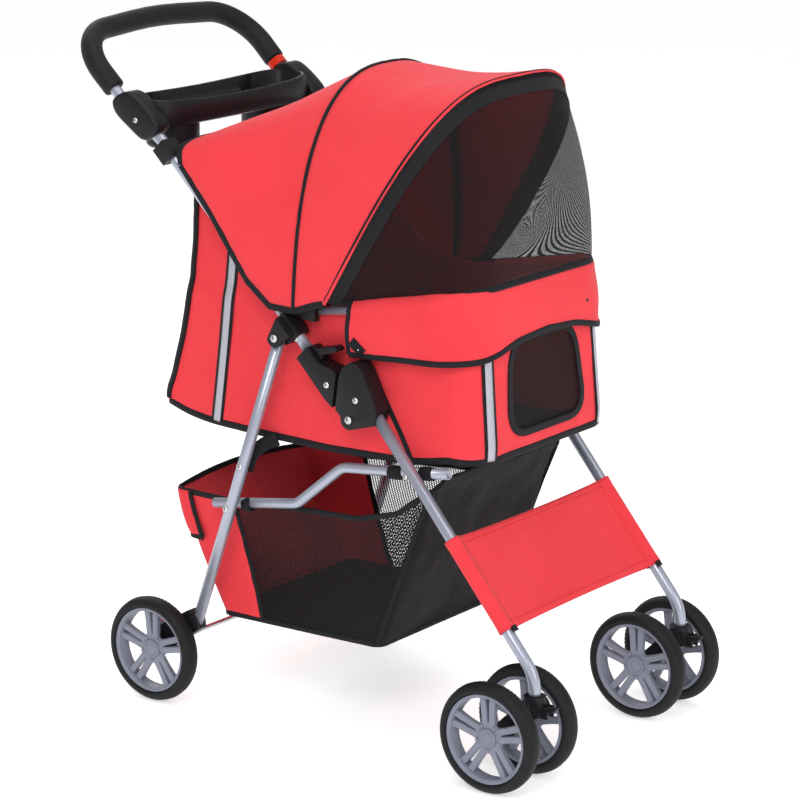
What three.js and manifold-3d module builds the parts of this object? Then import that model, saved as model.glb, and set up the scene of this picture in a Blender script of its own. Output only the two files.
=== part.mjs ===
// Folding four-wheel pet stroller.
// Millimetres. +X is forward, +Y is the stroller's left, +Z is up, the floor is z = 0.
// Places are measured from the rear axle (x = 0). The whole group is shifted at the end, so that
// the origin lies under the middle of the object.

import * as THREE from 'three';
import { mergeVertices } from 'three/addons/utils/BufferGeometryUtils.js';
import Module from 'manifold-3d';

const wasm = await Module();
wasm.setup();

// ---------- driving dimensions ----------

const gap = 0.3;                 // clearance between touching pieces
const runningGap = 0.6;          // clearance of a piece that turns or slides in another

// wheels
const wheelRadius = 75;
const tyreWidth = 28;
const rimRadius = 60.4;
const rimWidth = 22.6;
const rimWall = 5;
const hubRadius = 14;
const hubWidth = 24;
const spokeCount = 5;
const spokeRootWidth = 15;
const spokeTipWidth = 20;
const spokeThickness = 9;
const axleRadius = 4;

// stance
const wheelbase = 621.5;         // rear axle to the caster swivel axis
const casterTrail = 40.2;
const kneeHeight = 154;          // where the front leg turns down to the caster
const twinSpacing = 44.3;        // caster axis to each of its two wheels

// tubes
const tubeRadius = 8;
const tubeWall = 1.4;
const linkRadius = 7;
const railRadius = 6;
const bowRadius = 3.5;

// widths, from the centre plane
const handleHalfWidth = 173;
const frontLegHalfWidth = handleHalfWidth + 4.6;
const rearLegHalfWidth = handleHalfWidth + 14;
const frontTrack = frontLegHalfWidth;           // a caster's swivel axis
const footWall = 1;              // rear foot beside its leg
const tyreClearance = 0.4;       // rear tyre to the foot
const rearTrack = rearLegHalfWidth + tubeRadius + footWall + tyreClearance + tyreWidth / 2;

// fold linkage, side view (x, z)
const foldPivot = [330, 452];        // front leg housing on the handle tube's end
const rearLegPivot = [214, 548];     // rear leg on the handle tube's bracket
const linkRearPivot = [121, 295];    // link bar on the rear leg
const linkDownLeg = 112.07;          // link bar's pivot down the front leg, from the leg's upper end
const linkBehindLeg = 6.22;          // link bar's pivot behind the front leg's centre line
const handleAngle = 45.6;            // the handle tube's lean above the floor, degrees
const frontLegOffset = 33.8;         // fold pivot to the front leg's centre line

// handle
const gripRadius = 15;
const trayBend = 468.8;              // up the handle tube, from the fold pivot to its first bend
const gripBend = [-66, 835.5];       // where the handle tube turns into the grip, (x, z)
const gripAngle = 44;
const gripReach = 132;               // from the bend to the middle of the grip
const gripBow = 14;                  // how far the middle of the grip bows past its corners
const gripCorner = 70;
const gripStart = 22;                // foam's start, from the bend

// tray and cup holders
const trayFloor = 800;
const trayHeight = 32;
const trayFront = 8;
const recessDepth = 14;
const cupRadius = 37;
const cupMargin = 9;                 // tray beyond a cup, to the front and the rear
const trayDepth = 2 * (cupRadius + cupMargin);
const recessHalf = 24;
const recessBeyondCup = 30;
const cupWall = 2;
const cupDepth = 50;
const cupOffset = 103;
const armThickness = 31;

// cabin (fabric)
const cabinHalfWidth = handleHalfWidth - 19;
const fabricWall = 3;
const cabinFloor = 400;
const cabinFront = 514;
const cabinRear = -10;
const cabinRimFront = 636;
const boardThickness = 5;

// rail round the front of the cabin
const railRear = [250, 583.7];
const railFrontX = 498;
const railSlope = 0.136;
const railHalfWidth = handleHalfWidth - 12;
const railCorner = 60;

// canopy
const canopyHalfWidth = handleHalfWidth + 14;
const canopySkin = 2.4;
const midBowFoot = [236, 590];
const midBowTop = [252, 895];
const frontBowFoot = [284, 604];
const frontBowTop = [463, 898];
const canopyRearFoot = [46, 762];
const canopyRearTop = [40, 794];
const windowBulge = 22;

// basket (fabric)
const basketHalfWidth = handleHalfWidth - 24;
const basketRearTop = [-8, 288];
const basketRearFoot = [75, 126];
const basketFrontTop = [wheelbase - 175.5, 376];     // behind the front legs
const basketSideTop = [basketFrontTop[0] - 54, 306];
const basketFrontFoot = [basketFrontTop[0] - 97, 132];

// footrest panel between the front legs
const panelAboveKnee = 69;           // the panel's lower end, up the leg from the knee
const panelLength = 139.2;
const panelSleeve = 2.2;

const rad = THREE.MathUtils.degToRad;

// ---------- materials ----------

const finish = (color, roughness, metalness) => new THREE.MeshStandardMaterial({ color, roughness, metalness });
const looks = {
  silver: () => finish(0x9aa0b4, 0.35, 0.6),
  black: () => finish(0x1b1b1e, 0.5, 0),
  foam: () => finish(0x17171a, 0.9, 0),
  tyre: () => finish(0x161617, 0.8, 0),
  rim: () => finish(0x8d90a0, 0.45, 0.1),
  red: () => finish(0xe8383f, 0.85, 0),
  redPlastic: () => finish(0xd22a1c, 0.4, 0),
  mesh: () => finish(0x1c1a1b, 0.9, 0),
  board: () => finish(0x202022, 0.9, 0),
  steel: () => finish(0xc4c6cc, 0.3, 0.9),
};

// ---------- geometry helpers ----------

const stroller = new THREE.Group();

function place(name, geometry, look) {
  const mesh = new THREE.Mesh(geometry, looks[look]());
  mesh.name = name;
  stroller.add(mesh);
  return mesh;
}

// a path that keeps exactly the stations it is given
class Route extends THREE.Curve {
  constructor(stations) {
    super();
    this.stations = stations;
  }

  getPoint(t) {
    const last = this.stations.length - 1;
    const at = Math.min(Math.max(t, 0), 1) * last;
    const from = Math.min(Math.floor(at), last - 1);
    return this.stations[from].clone().lerp(this.stations[from + 1], at - from);
  }

  getPointAt(u) {
    return this.getPoint(u);
  }

  getTangentAt(u) {
    const last = this.stations.length - 1;
    const at = Math.round(Math.min(Math.max(u, 0), 1) * last);
    const before = this.stations[Math.max(at - 1, 0)];
    const here = this.stations[at];
    const after = this.stations[Math.min(at + 1, last)];
    const arriving = at > 0 ? here.clone().sub(before).normalize() : new THREE.Vector3();
    const leaving = at < last ? after.clone().sub(here).normalize() : new THREE.Vector3();
    return arriving.add(leaving).normalize();
  }
}

// corners of a bent tube, each [x, y, z, bend radius], rounded with arcs
function bentStations(corners, stepDegrees = 20) {
  const points = corners.map(([x, y, z]) => new THREE.Vector3(x, y, z));
  const stations = [points[0]];
  for (let i = 1; i < points.length - 1; i += 1) {
    const inward = points[i - 1].clone().sub(points[i]).normalize();
    const outward = points[i + 1].clone().sub(points[i]).normalize();
    const turn = Math.PI - inward.angleTo(outward);
    const bend = corners[i][3] ?? 0;
    if (bend === 0 || turn < 0.01) {
      stations.push(points[i]);
      continue;
    }
    const setback = bend * Math.tan(turn / 2);
    const bisector = inward.clone().add(outward).normalize();
    const centre = points[i].clone().addScaledVector(bisector, bend / Math.cos(turn / 2));
    const first = points[i].clone().addScaledVector(inward, setback).sub(centre);
    const last = points[i].clone().addScaledVector(outward, setback).sub(centre);
    const axis = first.clone().cross(last).normalize();
    const steps = Math.max(2, Math.ceil(THREE.MathUtils.radToDeg(turn) / stepDegrees));
    for (let k = 0; k <= steps; k += 1) {
      stations.push(centre.clone().add(first.clone().applyAxisAngle(axis, (turn * k) / steps)));
    }
  }
  stations.push(points[points.length - 1]);
  return stations;
}

function sweep(stations, radius, bore = 0, sides = 12) {
  const section = new THREE.Shape();
  section.absarc(0, 0, radius, 0, Math.PI * 2, false);
  if (bore > 0) {
    const hole = new THREE.Path();
    hole.absarc(0, 0, bore, 0, Math.PI * 2, true);
    section.holes.push(hole);
  }
  return new THREE.ExtrudeGeometry(section, {
    steps: stations.length - 1,
    curveSegments: sides / 2,
    extrudePath: new Route(stations),
  });
}

const tube = (corners, radius, bore = 0, sides = 12) => sweep(bentStations(corners), radius, bore, sides);

const onSide = (side, low, high) => (side > 0 ? [low, high] : [-high, -low]);
const sides = [['left', 1], ['right', -1]];

// turns a geometry inside out where its faces point inwards
function outward(geometry) {
  const body = geometry.clone();
  body.deleteAttribute('normal');
  body.deleteAttribute('uv');
  const merged = mergeVertices(body, 1e-4);
  const spots = merged.attributes.position;
  const corner = [0, 1, 2].map(() => new THREE.Vector3());
  let volume = 0;
  for (let i = 0; i < merged.index.count; i += 3) {
    corner.forEach((point, k) => point.fromBufferAttribute(spots, merged.index.getX(i + k)));
    volume += corner[0].dot(corner[1].clone().cross(corner[2]));
  }
  if (volume < 0) {
    for (let i = 0; i < merged.index.count; i += 3) {
      const first = merged.index.getX(i);
      merged.index.setX(i, merged.index.getX(i + 1));
      merged.index.setX(i + 1, first);
    }
  }
  return merged;
}

function solid(geometry) {
  const merged = outward(geometry);
  return new wasm.Manifold(new wasm.Mesh({
    numProp: 3,
    vertProperties: new Float32Array(merged.attributes.position.array),
    triVerts: new Uint32Array(merged.index.array),
  }));
}

function surface(manifold) {
  const mesh = manifold.getMesh();
  const geometry = new THREE.BufferGeometry();
  geometry.setAttribute('position', new THREE.BufferAttribute(new Float32Array(mesh.vertProperties), 3));
  geometry.setIndex(new THREE.BufferAttribute(new Uint32Array(mesh.triVerts), 1));
  geometry.computeVertexNormals();
  return geometry;
}

const asSolid = (piece) => (piece.isBufferGeometry ? solid(piece) : piece);
const join = (...pieces) => pieces.map(asSolid).reduce((whole, piece) => whole.add(piece));
const cut = (whole, ...tools) => tools.map(asSolid).reduce((rest, tool) => rest.subtract(tool), asSolid(whole));

// side-view outline of [x, z] pairs, extruded across the stroller
function slab(outline, [low, high]) {
  const shape = new THREE.Shape(outline.map(([x, z]) => new THREE.Vector2(x, z)));
  const geometry = new THREE.ExtrudeGeometry(shape, { depth: high - low, bevelEnabled: false });
  geometry.rotateX(Math.PI / 2);
  geometry.translate(0, high, 0);
  return geometry;
}

function lathe(profile, segments) {
  return new THREE.LatheGeometry(profile.map(([r, y]) => new THREE.Vector2(r, y)), segments);
}

// a rod across the stroller
function rod(radius, [low, high], [x, z], around = 14) {
  const geometry = new THREE.CylinderGeometry(radius, radius, high - low, around);
  geometry.translate(x, (low + high) / 2, z);
  return geometry;
}

function box([x0, x1], [y0, y1], [z0, z1]) {
  const geometry = new THREE.BoxGeometry(x1 - x0, y1 - y0, z1 - z0);
  geometry.translate((x0 + x1) / 2, (y0 + y1) / 2, (z0 + z1) / 2);
  return geometry;
}

// points of an arc in the side view
function arc([x, z], radius, from, to, count = 6) {
  return Array.from({ length: count + 1 }, (_, k) => {
    const angle = rad(from + ((to - from) * k) / count);
    return [x + radius * Math.cos(angle), z + radius * Math.sin(angle)];
  });
}

// closed skin through rings of equal length, with flat ends
function loft(rings) {
  const count = rings[0].length;
  const spots = rings.flat().flatMap((point) => [point.x, point.y, point.z]);
  const faces = [];
  for (let i = 0; i < rings.length - 1; i += 1) {
    for (let k = 0; k < count; k += 1) {
      const a = i * count + k;
      const b = i * count + ((k + 1) % count);
      faces.push(a, b, a + count, b, b + count, a + count);
    }
  }
  for (let k = 0; k < count / 2 - 1; k += 1) {
    const last = (rings.length - 1) * count;
    const far = count - 1 - k;
    faces.push(k, far, k + 1, k + 1, far, far - 1);
    faces.push(last + k, last + k + 1, last + far, last + k + 1, last + far - 1, last + far);
  }
  const geometry = new THREE.BufferGeometry();
  geometry.setAttribute('position', new THREE.Float32BufferAttribute(spots, 3));
  geometry.setIndex(faces);
  return geometry;
}

// ---------- frame lines in the side view ----------

const upHandle = [-Math.cos(rad(handleAngle)), Math.sin(rad(handleAngle))];
const offHandle = [Math.sin(rad(handleAngle)), Math.cos(rad(handleAngle))];

// a point given along the handle tube from the fold pivot, and out from it towards the front
const byHandle = (along, out = 0) => [
  foldPivot[0] + along * upHandle[0] + out * offHandle[0],
  foldPivot[1] + along * upHandle[1] + out * offHandle[1],
];
const handleOutline = (pairs) => pairs.map(([along, out]) => byHandle(along, out));

// the front leg passes the fold pivot at its offset and meets the knee above the caster
const kneeReach = Math.hypot(wheelbase - foldPivot[0], foldPivot[1] - kneeHeight);
const frontLegAngle = Math.atan2(foldPivot[1] - kneeHeight, wheelbase - foldPivot[0])
  + Math.asin(frontLegOffset / kneeReach);
const downLeg = [Math.cos(frontLegAngle), -Math.sin(frontLegAngle)];
const legAbovePivot = 6;
const legStart = [
  foldPivot[0] - frontLegOffset * downLeg[1] - legAbovePivot * downLeg[0],
  foldPivot[1] + frontLegOffset * downLeg[0] - legAbovePivot * downLeg[1],
];
const alongLeg = (distance, out = 0) => [
  legStart[0] + distance * downLeg[0] - out * downLeg[1],
  legStart[1] + distance * downLeg[1] + out * downLeg[0],
];
const linkFrontPivot = alongLeg(linkDownLeg, -linkBehindLeg);

// ---------- wheels ----------

const wheelSegments = 24;

function rimBody() {
  const half = rimWidth / 2;
  const inner = rimRadius - rimWall;
  const ring = lathe([
    [inner, -half], [rimRadius, -half], [rimRadius, half], [inner, half], [inner, -half],
  ], wheelSegments);
  const hub = lathe([[0, -hubWidth / 2], [hubRadius, -hubWidth / 2], [hubRadius, 5], [hubRadius - 2, 7], [0, 7]], 12);
  const spokes = Array.from({ length: spokeCount }, (_, k) => {
    const shape = new THREE.Shape([
      new THREE.Vector2(hubRadius - 3, -spokeRootWidth / 2),
      new THREE.Vector2(inner + 2, -spokeTipWidth / 2),
      new THREE.Vector2(inner + 2, spokeTipWidth / 2),
      new THREE.Vector2(hubRadius - 3, spokeRootWidth / 2),
    ]);
    const spoke = new THREE.ExtrudeGeometry(shape, { depth: spokeThickness, bevelEnabled: false });
    spoke.rotateX(Math.PI / 2);
    spoke.translate(0, spokeThickness / 2, 0);
    spoke.rotateY((2 * Math.PI * (k + 0.25)) / spokeCount);
    return spoke;
  });
  const bore = rod(axleRadius + runningGap, [-hubWidth / 2 - 1, 3], [0, 0]);
  return cut(join(ring, hub, ...spokes), bore);
}

function tyreBody() {
  const inner = rimRadius + gap;
  const half = tyreWidth / 2;
  const profile = [
    [inner, -half + 2], [inner + 4, -half], [wheelRadius - 4, -half + 2], [wheelRadius, -4],
    [wheelRadius, 4], [wheelRadius - 4, half - 2], [inner + 4, half], [inner, half - 2],
    [inner, -half + 2],
  ];
  return outward(lathe(profile, wheelSegments));
}

function wheel(name, x, y, outside) {
  const rim = surface(rimBody());
  const tyre = tyreBody();
  [[`${name}_rim`, rim, 'rim'], [`${name}_tyre`, tyre, 'tyre']].forEach(([title, geometry, look]) => {
    const mesh = place(title, geometry, look);
    mesh.position.set(x, y, wheelRadius);
    mesh.rotation.z = outside > 0 ? 0 : Math.PI;
  });
}

sides.forEach(([label, side]) => wheel(`rear_wheel_${label}`, 0, side * rearTrack, side));

// ---------- handle ----------

const gripPoint = (reach) => [
  gripBend[0] - reach * Math.cos(rad(gripAngle)),
  gripBend[1] + reach * Math.sin(rad(gripAngle)),
];
const at = ([x, z], y, bend = 0) => [x, y, z, bend];
const handleTubeEnd = 44;        // the handle tube's lower end, up from the fold pivot

const handleCorners = [
  at(byHandle(handleTubeEnd), -handleHalfWidth),
  at(byHandle(trayBend), -handleHalfWidth, 60),
  at(gripBend, -handleHalfWidth, 60),
  at(gripPoint(gripReach - gripBow), -handleHalfWidth - 3, gripCorner),
  at(gripPoint(gripReach), 0, 600),
  at(gripPoint(gripReach - gripBow), handleHalfWidth + 3, gripCorner),
  at(gripBend, handleHalfWidth, 60),
  at(byHandle(trayBend), handleHalfWidth, 60),
  at(byHandle(handleTubeEnd), handleHalfWidth),
];
place('handle_tube', outward(tube(handleCorners, tubeRadius, tubeRadius - tubeWall)), 'silver');

const handleBore = tube(handleCorners, tubeRadius + gap);
const foamRoute = bentStations(handleCorners);
const foamFrom = (side) => new THREE.Vector3(...[gripPoint(gripStart)].flatMap(([x, z]) => [
  x, side * (handleHalfWidth + (3 * gripStart) / (gripReach - gripBow)), z,
]));
const foamStations = [
  foamFrom(-1),
  ...foamRoute.filter((station) => station.x < foamFrom(1).x - 4),
  foamFrom(1),
];
place('grip_foam', outward(sweep(foamStations, gripRadius, tubeRadius + gap, 12)), 'foam');

function collarBody() {
  const ribs = 3;
  const length = 11;
  const profile = [[tubeRadius + gap + 0.2, 0]];
  for (let k = 0; k <= ribs * 2; k += 1) {
    profile.push([k % 2 ? 12 : 13.5, (length * k) / (ribs * 2)]);
  }
  profile.push([tubeRadius + gap + 0.2, length], [tubeRadius + gap + 0.2, 0]);
  const body = lathe(profile, 14);
  body.rotateZ(rad(90 - gripAngle));
  return body;
}

// the cylinder's own axis is turned from +Y into the grip's plane
function placeCollar() {
  const [x, z] = gripPoint(gripStart - 12.5);
  const mesh = place('grip_collar', outward(collarBody().rotateX(Math.PI / 2)), 'redPlastic');
  mesh.position.set(x, handleHalfWidth + 0.4, z);
}
placeCollar();

// ---------- tray ----------

const trayMiddle = trayFront - trayDepth / 2 - 2;

function trayBody() {
  const top = trayFloor + trayHeight;
  const rear = trayFront - trayDepth;
  const deck = slab([
    [trayFront - 6, trayFloor], [trayFront, trayFloor + 8], [trayFront - 4, top],
    [rear + 8, top + 4], [rear, top - 2], [rear + 12, trayFloor + 4],
  ], [-handleHalfWidth + 10, handleHalfWidth - 10]);
  const arms = sides.map(([, side]) => slab(
    handleOutline([[trayBend + 16, -16], [trayBend + 10, 8], [trayBend + 20, 20], [trayBend + 79, 10],
      [trayBend + 87, -2], [trayBend + 91, -22], [trayBend + 76, -30], [trayBend + 31, -22]]),
    onSide(side, handleHalfWidth - armThickness / 2, handleHalfWidth + armThickness / 2),
  ));
  const recess = new THREE.Shape();
  recess.absarc(cupOffset + recessBeyondCup, 0, recessHalf, -Math.PI / 2, Math.PI / 2, false);
  recess.absarc(-cupOffset - recessBeyondCup, 0, recessHalf, Math.PI / 2, (Math.PI * 3) / 2, false);
  const well = new THREE.ExtrudeGeometry(recess, { depth: 40, bevelEnabled: false, curveSegments: 6 });
  well.rotateZ(Math.PI / 2);
  well.translate(trayMiddle, 0, top - recessDepth);
  const cups = sides.map(([, side]) => {
    const hole = new THREE.CylinderGeometry(cupRadius + gap, cupRadius + gap, 80, 24);
    hole.rotateX(Math.PI / 2);
    hole.translate(trayMiddle, side * cupOffset, trayFloor);
    return hole;
  });
  return cut(join(deck, ...arms), handleBore, well, ...cups);
}
place('tray', surface(trayBody()), 'black');

sides.forEach(([label, side]) => {
  const rim = trayFloor + trayHeight - recessDepth;
  const cup = lathe([
    [0, 0], [cupRadius - 3, 0], [cupRadius, 4], [cupRadius, cupDepth],
    [cupRadius - cupWall, cupDepth], [cupRadius - cupWall, cupWall + 3], [0, cupWall],
  ], 24);
  cup.rotateX(Math.PI / 2);
  const mesh = place(`cup_holder_${label}`, outward(cup), 'black');
  mesh.position.set(trayMiddle, side * cupOffset, rim - cupDepth);
});

// ---------- brackets, clips and fold locks on the handle tube ----------

const clipAt = 451.6;            // canopy clip, up the handle tube
const bracketFrom = 134;
const bracketTo = 170;
const lockInner = handleHalfWidth - tubeRadius - 4;
const lockOuter = handleHalfWidth + tubeRadius + 9;
const lockTop = 112;
const tongue = [handleHalfWidth - 4, handleHalfWidth + 4];
const lobeInner = rearLegHalfWidth - tubeRadius - 8;
const lobeOuter = rearLegHalfWidth + tubeRadius + 5;
const pinRadius = 3;
const pinHead = pinRadius + 2.5;

function bracketBody(side) {
  const block = slab(handleOutline([[bracketFrom, -12], [bracketFrom, 11], [bracketFrom + 6, 13],
    [bracketTo - 4, 13], [bracketTo, 10], [bracketTo, -12]]), onSide(side, lockInner + 2, lockOuter));
  const lobe = slab([
    ...arc(rearLegPivot, 13, -170, -10, 8),
    byHandle(bracketFrom + 2, 6), byHandle(bracketTo - 2, 6),
  ], onSide(side, lobeInner, lobeOuter));
  const legRoom = tubeRadius + runningGap;
  const legSpan = onSide(side, rearLegHalfWidth - legRoom, rearLegHalfWidth + legRoom);
  const swing = slab(handleOutline([[174, -6], [174, -70], [112, -70], [124, -16], [138, -8]]), legSpan);
  const pivotRoom = rod(11.5, legSpan, rearLegPivot, 20);
  return cut(join(block, lobe), handleBore, swing, pivotRoom,
    rod(pinRadius + gap, onSide(side, lobeInner - 11, lobeOuter + 10), rearLegPivot));
}

const upperLockOutline = handleOutline([[29, -11], [44, -13], [lockTop, -12], [lockTop, 12.4], [86, 12.4],
  [78, 17], [66, 25], [57, 26]]);
const lowerLockOutline = [
  ...arc(foldPivot, 14, 270, 170, 5),
  ...handleOutline([[24, -8], [49, 24], [57, 40], [55, 54], [46, 63], [32, 63], [4, 54], [-20, 44], [-30, 27]]),
];

sides.forEach(([label, side]) => {
  const lockSpan = onSide(side, lockInner, lockOuter);
  const tonguePlate = slab([
    ...arc(foldPivot, 11, 180 + handleAngle, 360 + 50, 8),
    byHandle(40, 10), byHandle(40, -10),
  ], onSide(side, ...tongue));
  const clip = slab(handleOutline([[clipAt - 13, -12], [clipAt - 13, 12], [clipAt + 13, 12], [clipAt + 13, -12]]),
    onSide(side, lockInner + 1, lockOuter - 2));
  place(`tube_clip_${label}`, surface(cut(clip, handleBore)), 'black');
  place(`leg_bracket_${label}`, surface(bracketBody(side)), 'black');
  place(`lock_upper_${label}`, surface(cut(
    join(slab(upperLockOutline, lockSpan), tonguePlate),
    handleBore,
    rod(pinRadius + gap, onSide(side, lockInner - 11, lockOuter + 10), foldPivot),
  )), 'black');

  const legCorners = [at(legStart, side * frontLegHalfWidth), at(alongLeg(60), side * frontLegHalfWidth)];
  const tongueSlot = slab(handleOutline([[62, 24], [20, 13], [-15, 13], [-24, -10], [-10, -30], [62, -30]]),
    onSide(side, tongue[0] - runningGap, tongue[1] + runningGap));
  place(`lock_lower_${label}`, surface(cut(
    slab(lowerLockOutline, lockSpan),
    tongueSlot,
    tube(legCorners, tubeRadius + gap),
    rod(pinRadius + gap, onSide(side, lockInner - 11, lockOuter + 10), foldPivot),
  )), 'black');
  const pin = join(
    rod(pinRadius, onSide(side, lockInner - 1.5, lockOuter + 1.5), foldPivot, 12),
    rod(pinHead, onSide(side, lockOuter + gap, lockOuter + 2), foldPivot, 12),
    rod(pinHead, onSide(side, lockInner - 2, lockInner - gap), foldPivot, 12),
  );
  place(`fold_pin_${label}`, surface(pin), 'steel');
  const legPin = join(
    rod(pinRadius, onSide(side, lobeInner - 1.5, lobeOuter + 1), rearLegPivot, 12),
    rod(pinHead, onSide(side, lobeOuter + gap, lobeOuter + 2), rearLegPivot, 12),
  );
  place(`rear_leg_pin_${label}`, surface(legPin), 'steel');
  const latch = slab(handleOutline([[88, 12.9], [111, 12.9], [111, 17], [104, 18], [88, 44], [82, 46], [80, 42],
    [92, 18], [88, 17]]), onSide(side, handleHalfWidth - 8, handleHalfWidth + 10));
  place(`fold_latch_${label}`, outward(latch), 'black');
});

// ---------- front legs, casters and footrest ----------

const casterTop = kneeHeight - 26;
const stemRadius = 5;
const legToKnee = (wheelbase - legStart[0]) / downLeg[0];
const legKnee = alongLeg(legToKnee);

const legCornersOf = (side) => [
  at(legStart, side * frontLegHalfWidth),
  at(legKnee, side * frontLegHalfWidth, 60),
  [wheelbase, side * frontLegHalfWidth, casterTop + runningGap],
];

sides.forEach(([label, side]) => {
  place(`front_leg_${label}`, outward(tube(legCornersOf(side), tubeRadius, tubeRadius - tubeWall)), 'silver');
});

const casterAxle = wheelbase - casterTrail;
const forkHalf = 13;
const leverPivot = [wheelbase + 20, 112];

function casterBody(y) {
  const fork = slab([
    ...arc([wheelbase, casterTop - 16], 16, -20, 110, 6),
    ...arc([casterAxle, wheelRadius], 13, 130, 300, 6),
  ], [y - forkHalf, y + forkHalf]);
  const dome = new THREE.CylinderGeometry(15, 16, 26, 16);
  dome.rotateX(Math.PI / 2);
  dome.translate(wheelbase, y, casterTop - 13);
  const stem = new THREE.CylinderGeometry(stemRadius, stemRadius, 24, 12);
  stem.rotateX(Math.PI / 2);
  stem.translate(wheelbase, y, casterTop);
  const nose = box([wheelbase + 10, wheelbase + 25], [y - 8, y + 8], [102, 118]);
  const leverSlot = box([leverPivot[0] - 5, wheelbase + 40], [y - 5.5, y + 5.5], [98, 130]);
  const axleBore = rod(axleRadius + gap, [y - 30, y + 30], [casterAxle, wheelRadius]);
  return cut(join(fork, dome, stem, nose), leverSlot, axleBore);
}

sides.forEach(([label, side]) => {
  const y = side * frontTrack;
  place(`caster_fork_${label}`, surface(casterBody(y)), 'black');
  const axle = rod(axleRadius, [y - twinSpacing - 2, y + twinSpacing + 2], [casterAxle, wheelRadius], 12);
  place(`caster_axle_${label}`, outward(axle), 'steel');
  const lever = slab([
    ...arc(leverPivot, 4.4, 180, 300, 4),
    [leverPivot[0] + 15, leverPivot[1] + 3], [leverPivot[0] + 15, leverPivot[1] + 6],
    [leverPivot[0] - 2, leverPivot[1] + 5],
  ], [y - 5, y + 5]);
  place(`swivel_lock_${label}`, outward(lever), 'black');
  [['outer', side], ['inner', -side]].forEach(([name, way]) => {
    wheel(`caster_${label}_${name}`, casterAxle, y + way * twinSpacing, way);
  });
});

// fabric sleeve round both legs, with the web stretched between them
function footrestBody() {
  const end = legToKnee - panelAboveKnee;
  const start = end - panelLength;
  const outer = tubeRadius + panelSleeve;
  const bands = sides.map(([, side]) => {
    const y = side * frontLegHalfWidth;
    return tube([at(alongLeg(start), y), at(alongLeg(end), y)], outer, 0, 16);
  });
  const web = slab([
    alongLeg(start, -3), alongLeg(end, -3), alongLeg(end, 3), alongLeg(start, 3),
  ], [-frontLegHalfWidth, frontLegHalfWidth]);
  const bores = sides.map(([, side]) => tube(legCornersOf(side), tubeRadius + gap));
  return cut(join(web, ...bands), ...bores);
}
place('footrest_panel', surface(footrestBody()), 'red');

// ---------- rear legs, axle and brakes ----------

const legFoot = [60, 115];
const legTop = [rearLegPivot[0] + 2, rearLegPivot[1] + 5.6];
const footInner = rearLegHalfWidth - tubeRadius - footWall;
const footOuter = rearLegHalfWidth + tubeRadius + footWall;
const pedalInner = footInner - 15;
const pedalPivot = [-2, 99];
const bossRadius = 4;

place('rear_axle', outward(rod(axleRadius, [-rearTrack - 2, rearTrack + 2], [0, wheelRadius], 12)), 'steel');

sides.forEach(([label, side]) => {
  const y = side * rearLegHalfWidth;
  const leg = tube([at(legTop, y), at(legFoot, y)], tubeRadius, tubeRadius - tubeWall);
  const legPinHole = rod(pinRadius + gap, onSide(side, lobeInner - 1, lobeOuter + 10), rearLegPivot);
  place(`rear_leg_${label}`, surface(cut(leg, legPinHole)), 'silver');
  const foot = slab([
    ...arc([0, wheelRadius], 13, 150, 290, 6),
    [70, 112], [68, 128], [50, 136],
    ...arc(pedalPivot, 9, 60, 150, 3),
  ], onSide(side, footInner, footOuter));
  const boss = rod(bossRadius, onSide(side, pedalInner - 1, footInner + 2), pedalPivot, 12);
  const legBore = tube([at(rearLegPivot, y), at(legFoot, y)], tubeRadius + gap);
  const axleBore = rod(axleRadius + gap, onSide(side, footInner - 28, footOuter + 4), [0, wheelRadius]);
  place(`rear_foot_${label}`, surface(cut(join(foot, boss), legBore, axleBore)), 'black');
  const pedal = slab([
    [8, 94], [8, 104], [0, 109], [-14, 106], [-40, 98], [-44, 90], [-38, 87], [-12, 90],
  ], onSide(side, pedalInner, footInner - runningGap));
  place(`brake_pedal_${label}`, surface(cut(
    pedal, rod(bossRadius + runningGap, onSide(side, pedalInner - 13, footInner + 12), pedalPivot),
  )), 'redPlastic');
});

// ---------- link bars and basket ----------

sides.forEach(([label, side]) => {
  const rearY = side * (rearLegHalfWidth - tubeRadius - linkRadius - 1);
  const frontY = side * (frontLegHalfWidth - tubeRadius - linkRadius - 1.5);
  const corners = [
    at([linkRearPivot[0] - 38, linkRearPivot[1] - 3], rearY),
    at([linkRearPivot[0] + 105, linkRearPivot[1] + 20], rearY - side * 2, 26),
    at([linkFrontPivot[0] - 121, linkFrontPivot[1] - 12], frontY + side, 30),
    at([linkFrontPivot[0] - 47, linkFrontPivot[1] - 4.5], frontY, 40),
    at([linkFrontPivot[0] + 53, linkFrontPivot[1] + 7], frontY),
  ];
  place(`link_bar_${label}`, outward(tube(corners, linkRadius, linkRadius - tubeWall)), 'silver');
});

function basketBody() {
  const outline = [basketRearTop, basketRearFoot, basketFrontFoot, basketFrontTop, basketSideTop];
  const shell = slab(outline, [-basketHalfWidth, basketHalfWidth]);
  const hollow = slab([
    [basketRearTop[0] + fabricWall * 1.2, basketRearTop[1] + 60],
    [basketRearTop[0] + fabricWall * 1.2, basketRearTop[1] + 1],
    [basketRearFoot[0] + fabricWall, basketRearFoot[1] + fabricWall],
    [basketFrontFoot[0] - fabricWall, basketFrontFoot[1] + fabricWall],
    [basketFrontTop[0] - fabricWall * 1.1, basketFrontTop[1] + 2],
    [basketFrontTop[0] - fabricWall * 1.1, basketFrontTop[1] + 60],
  ], [-basketHalfWidth + fabricWall, basketHalfWidth - fabricWall]);
  return cut(shell, hollow);
}
place('basket', surface(basketBody()), 'red');

// ---------- cabin ----------

const onHandle = (x) => foldPivot[1] + ((foldPivot[0] - x) * upHandle[1]) / -upHandle[0];

const cabinCorner = 52;
const setBack = railFrontX - railRadius - 1.5;
const ledgeHeight = 575;

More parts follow.
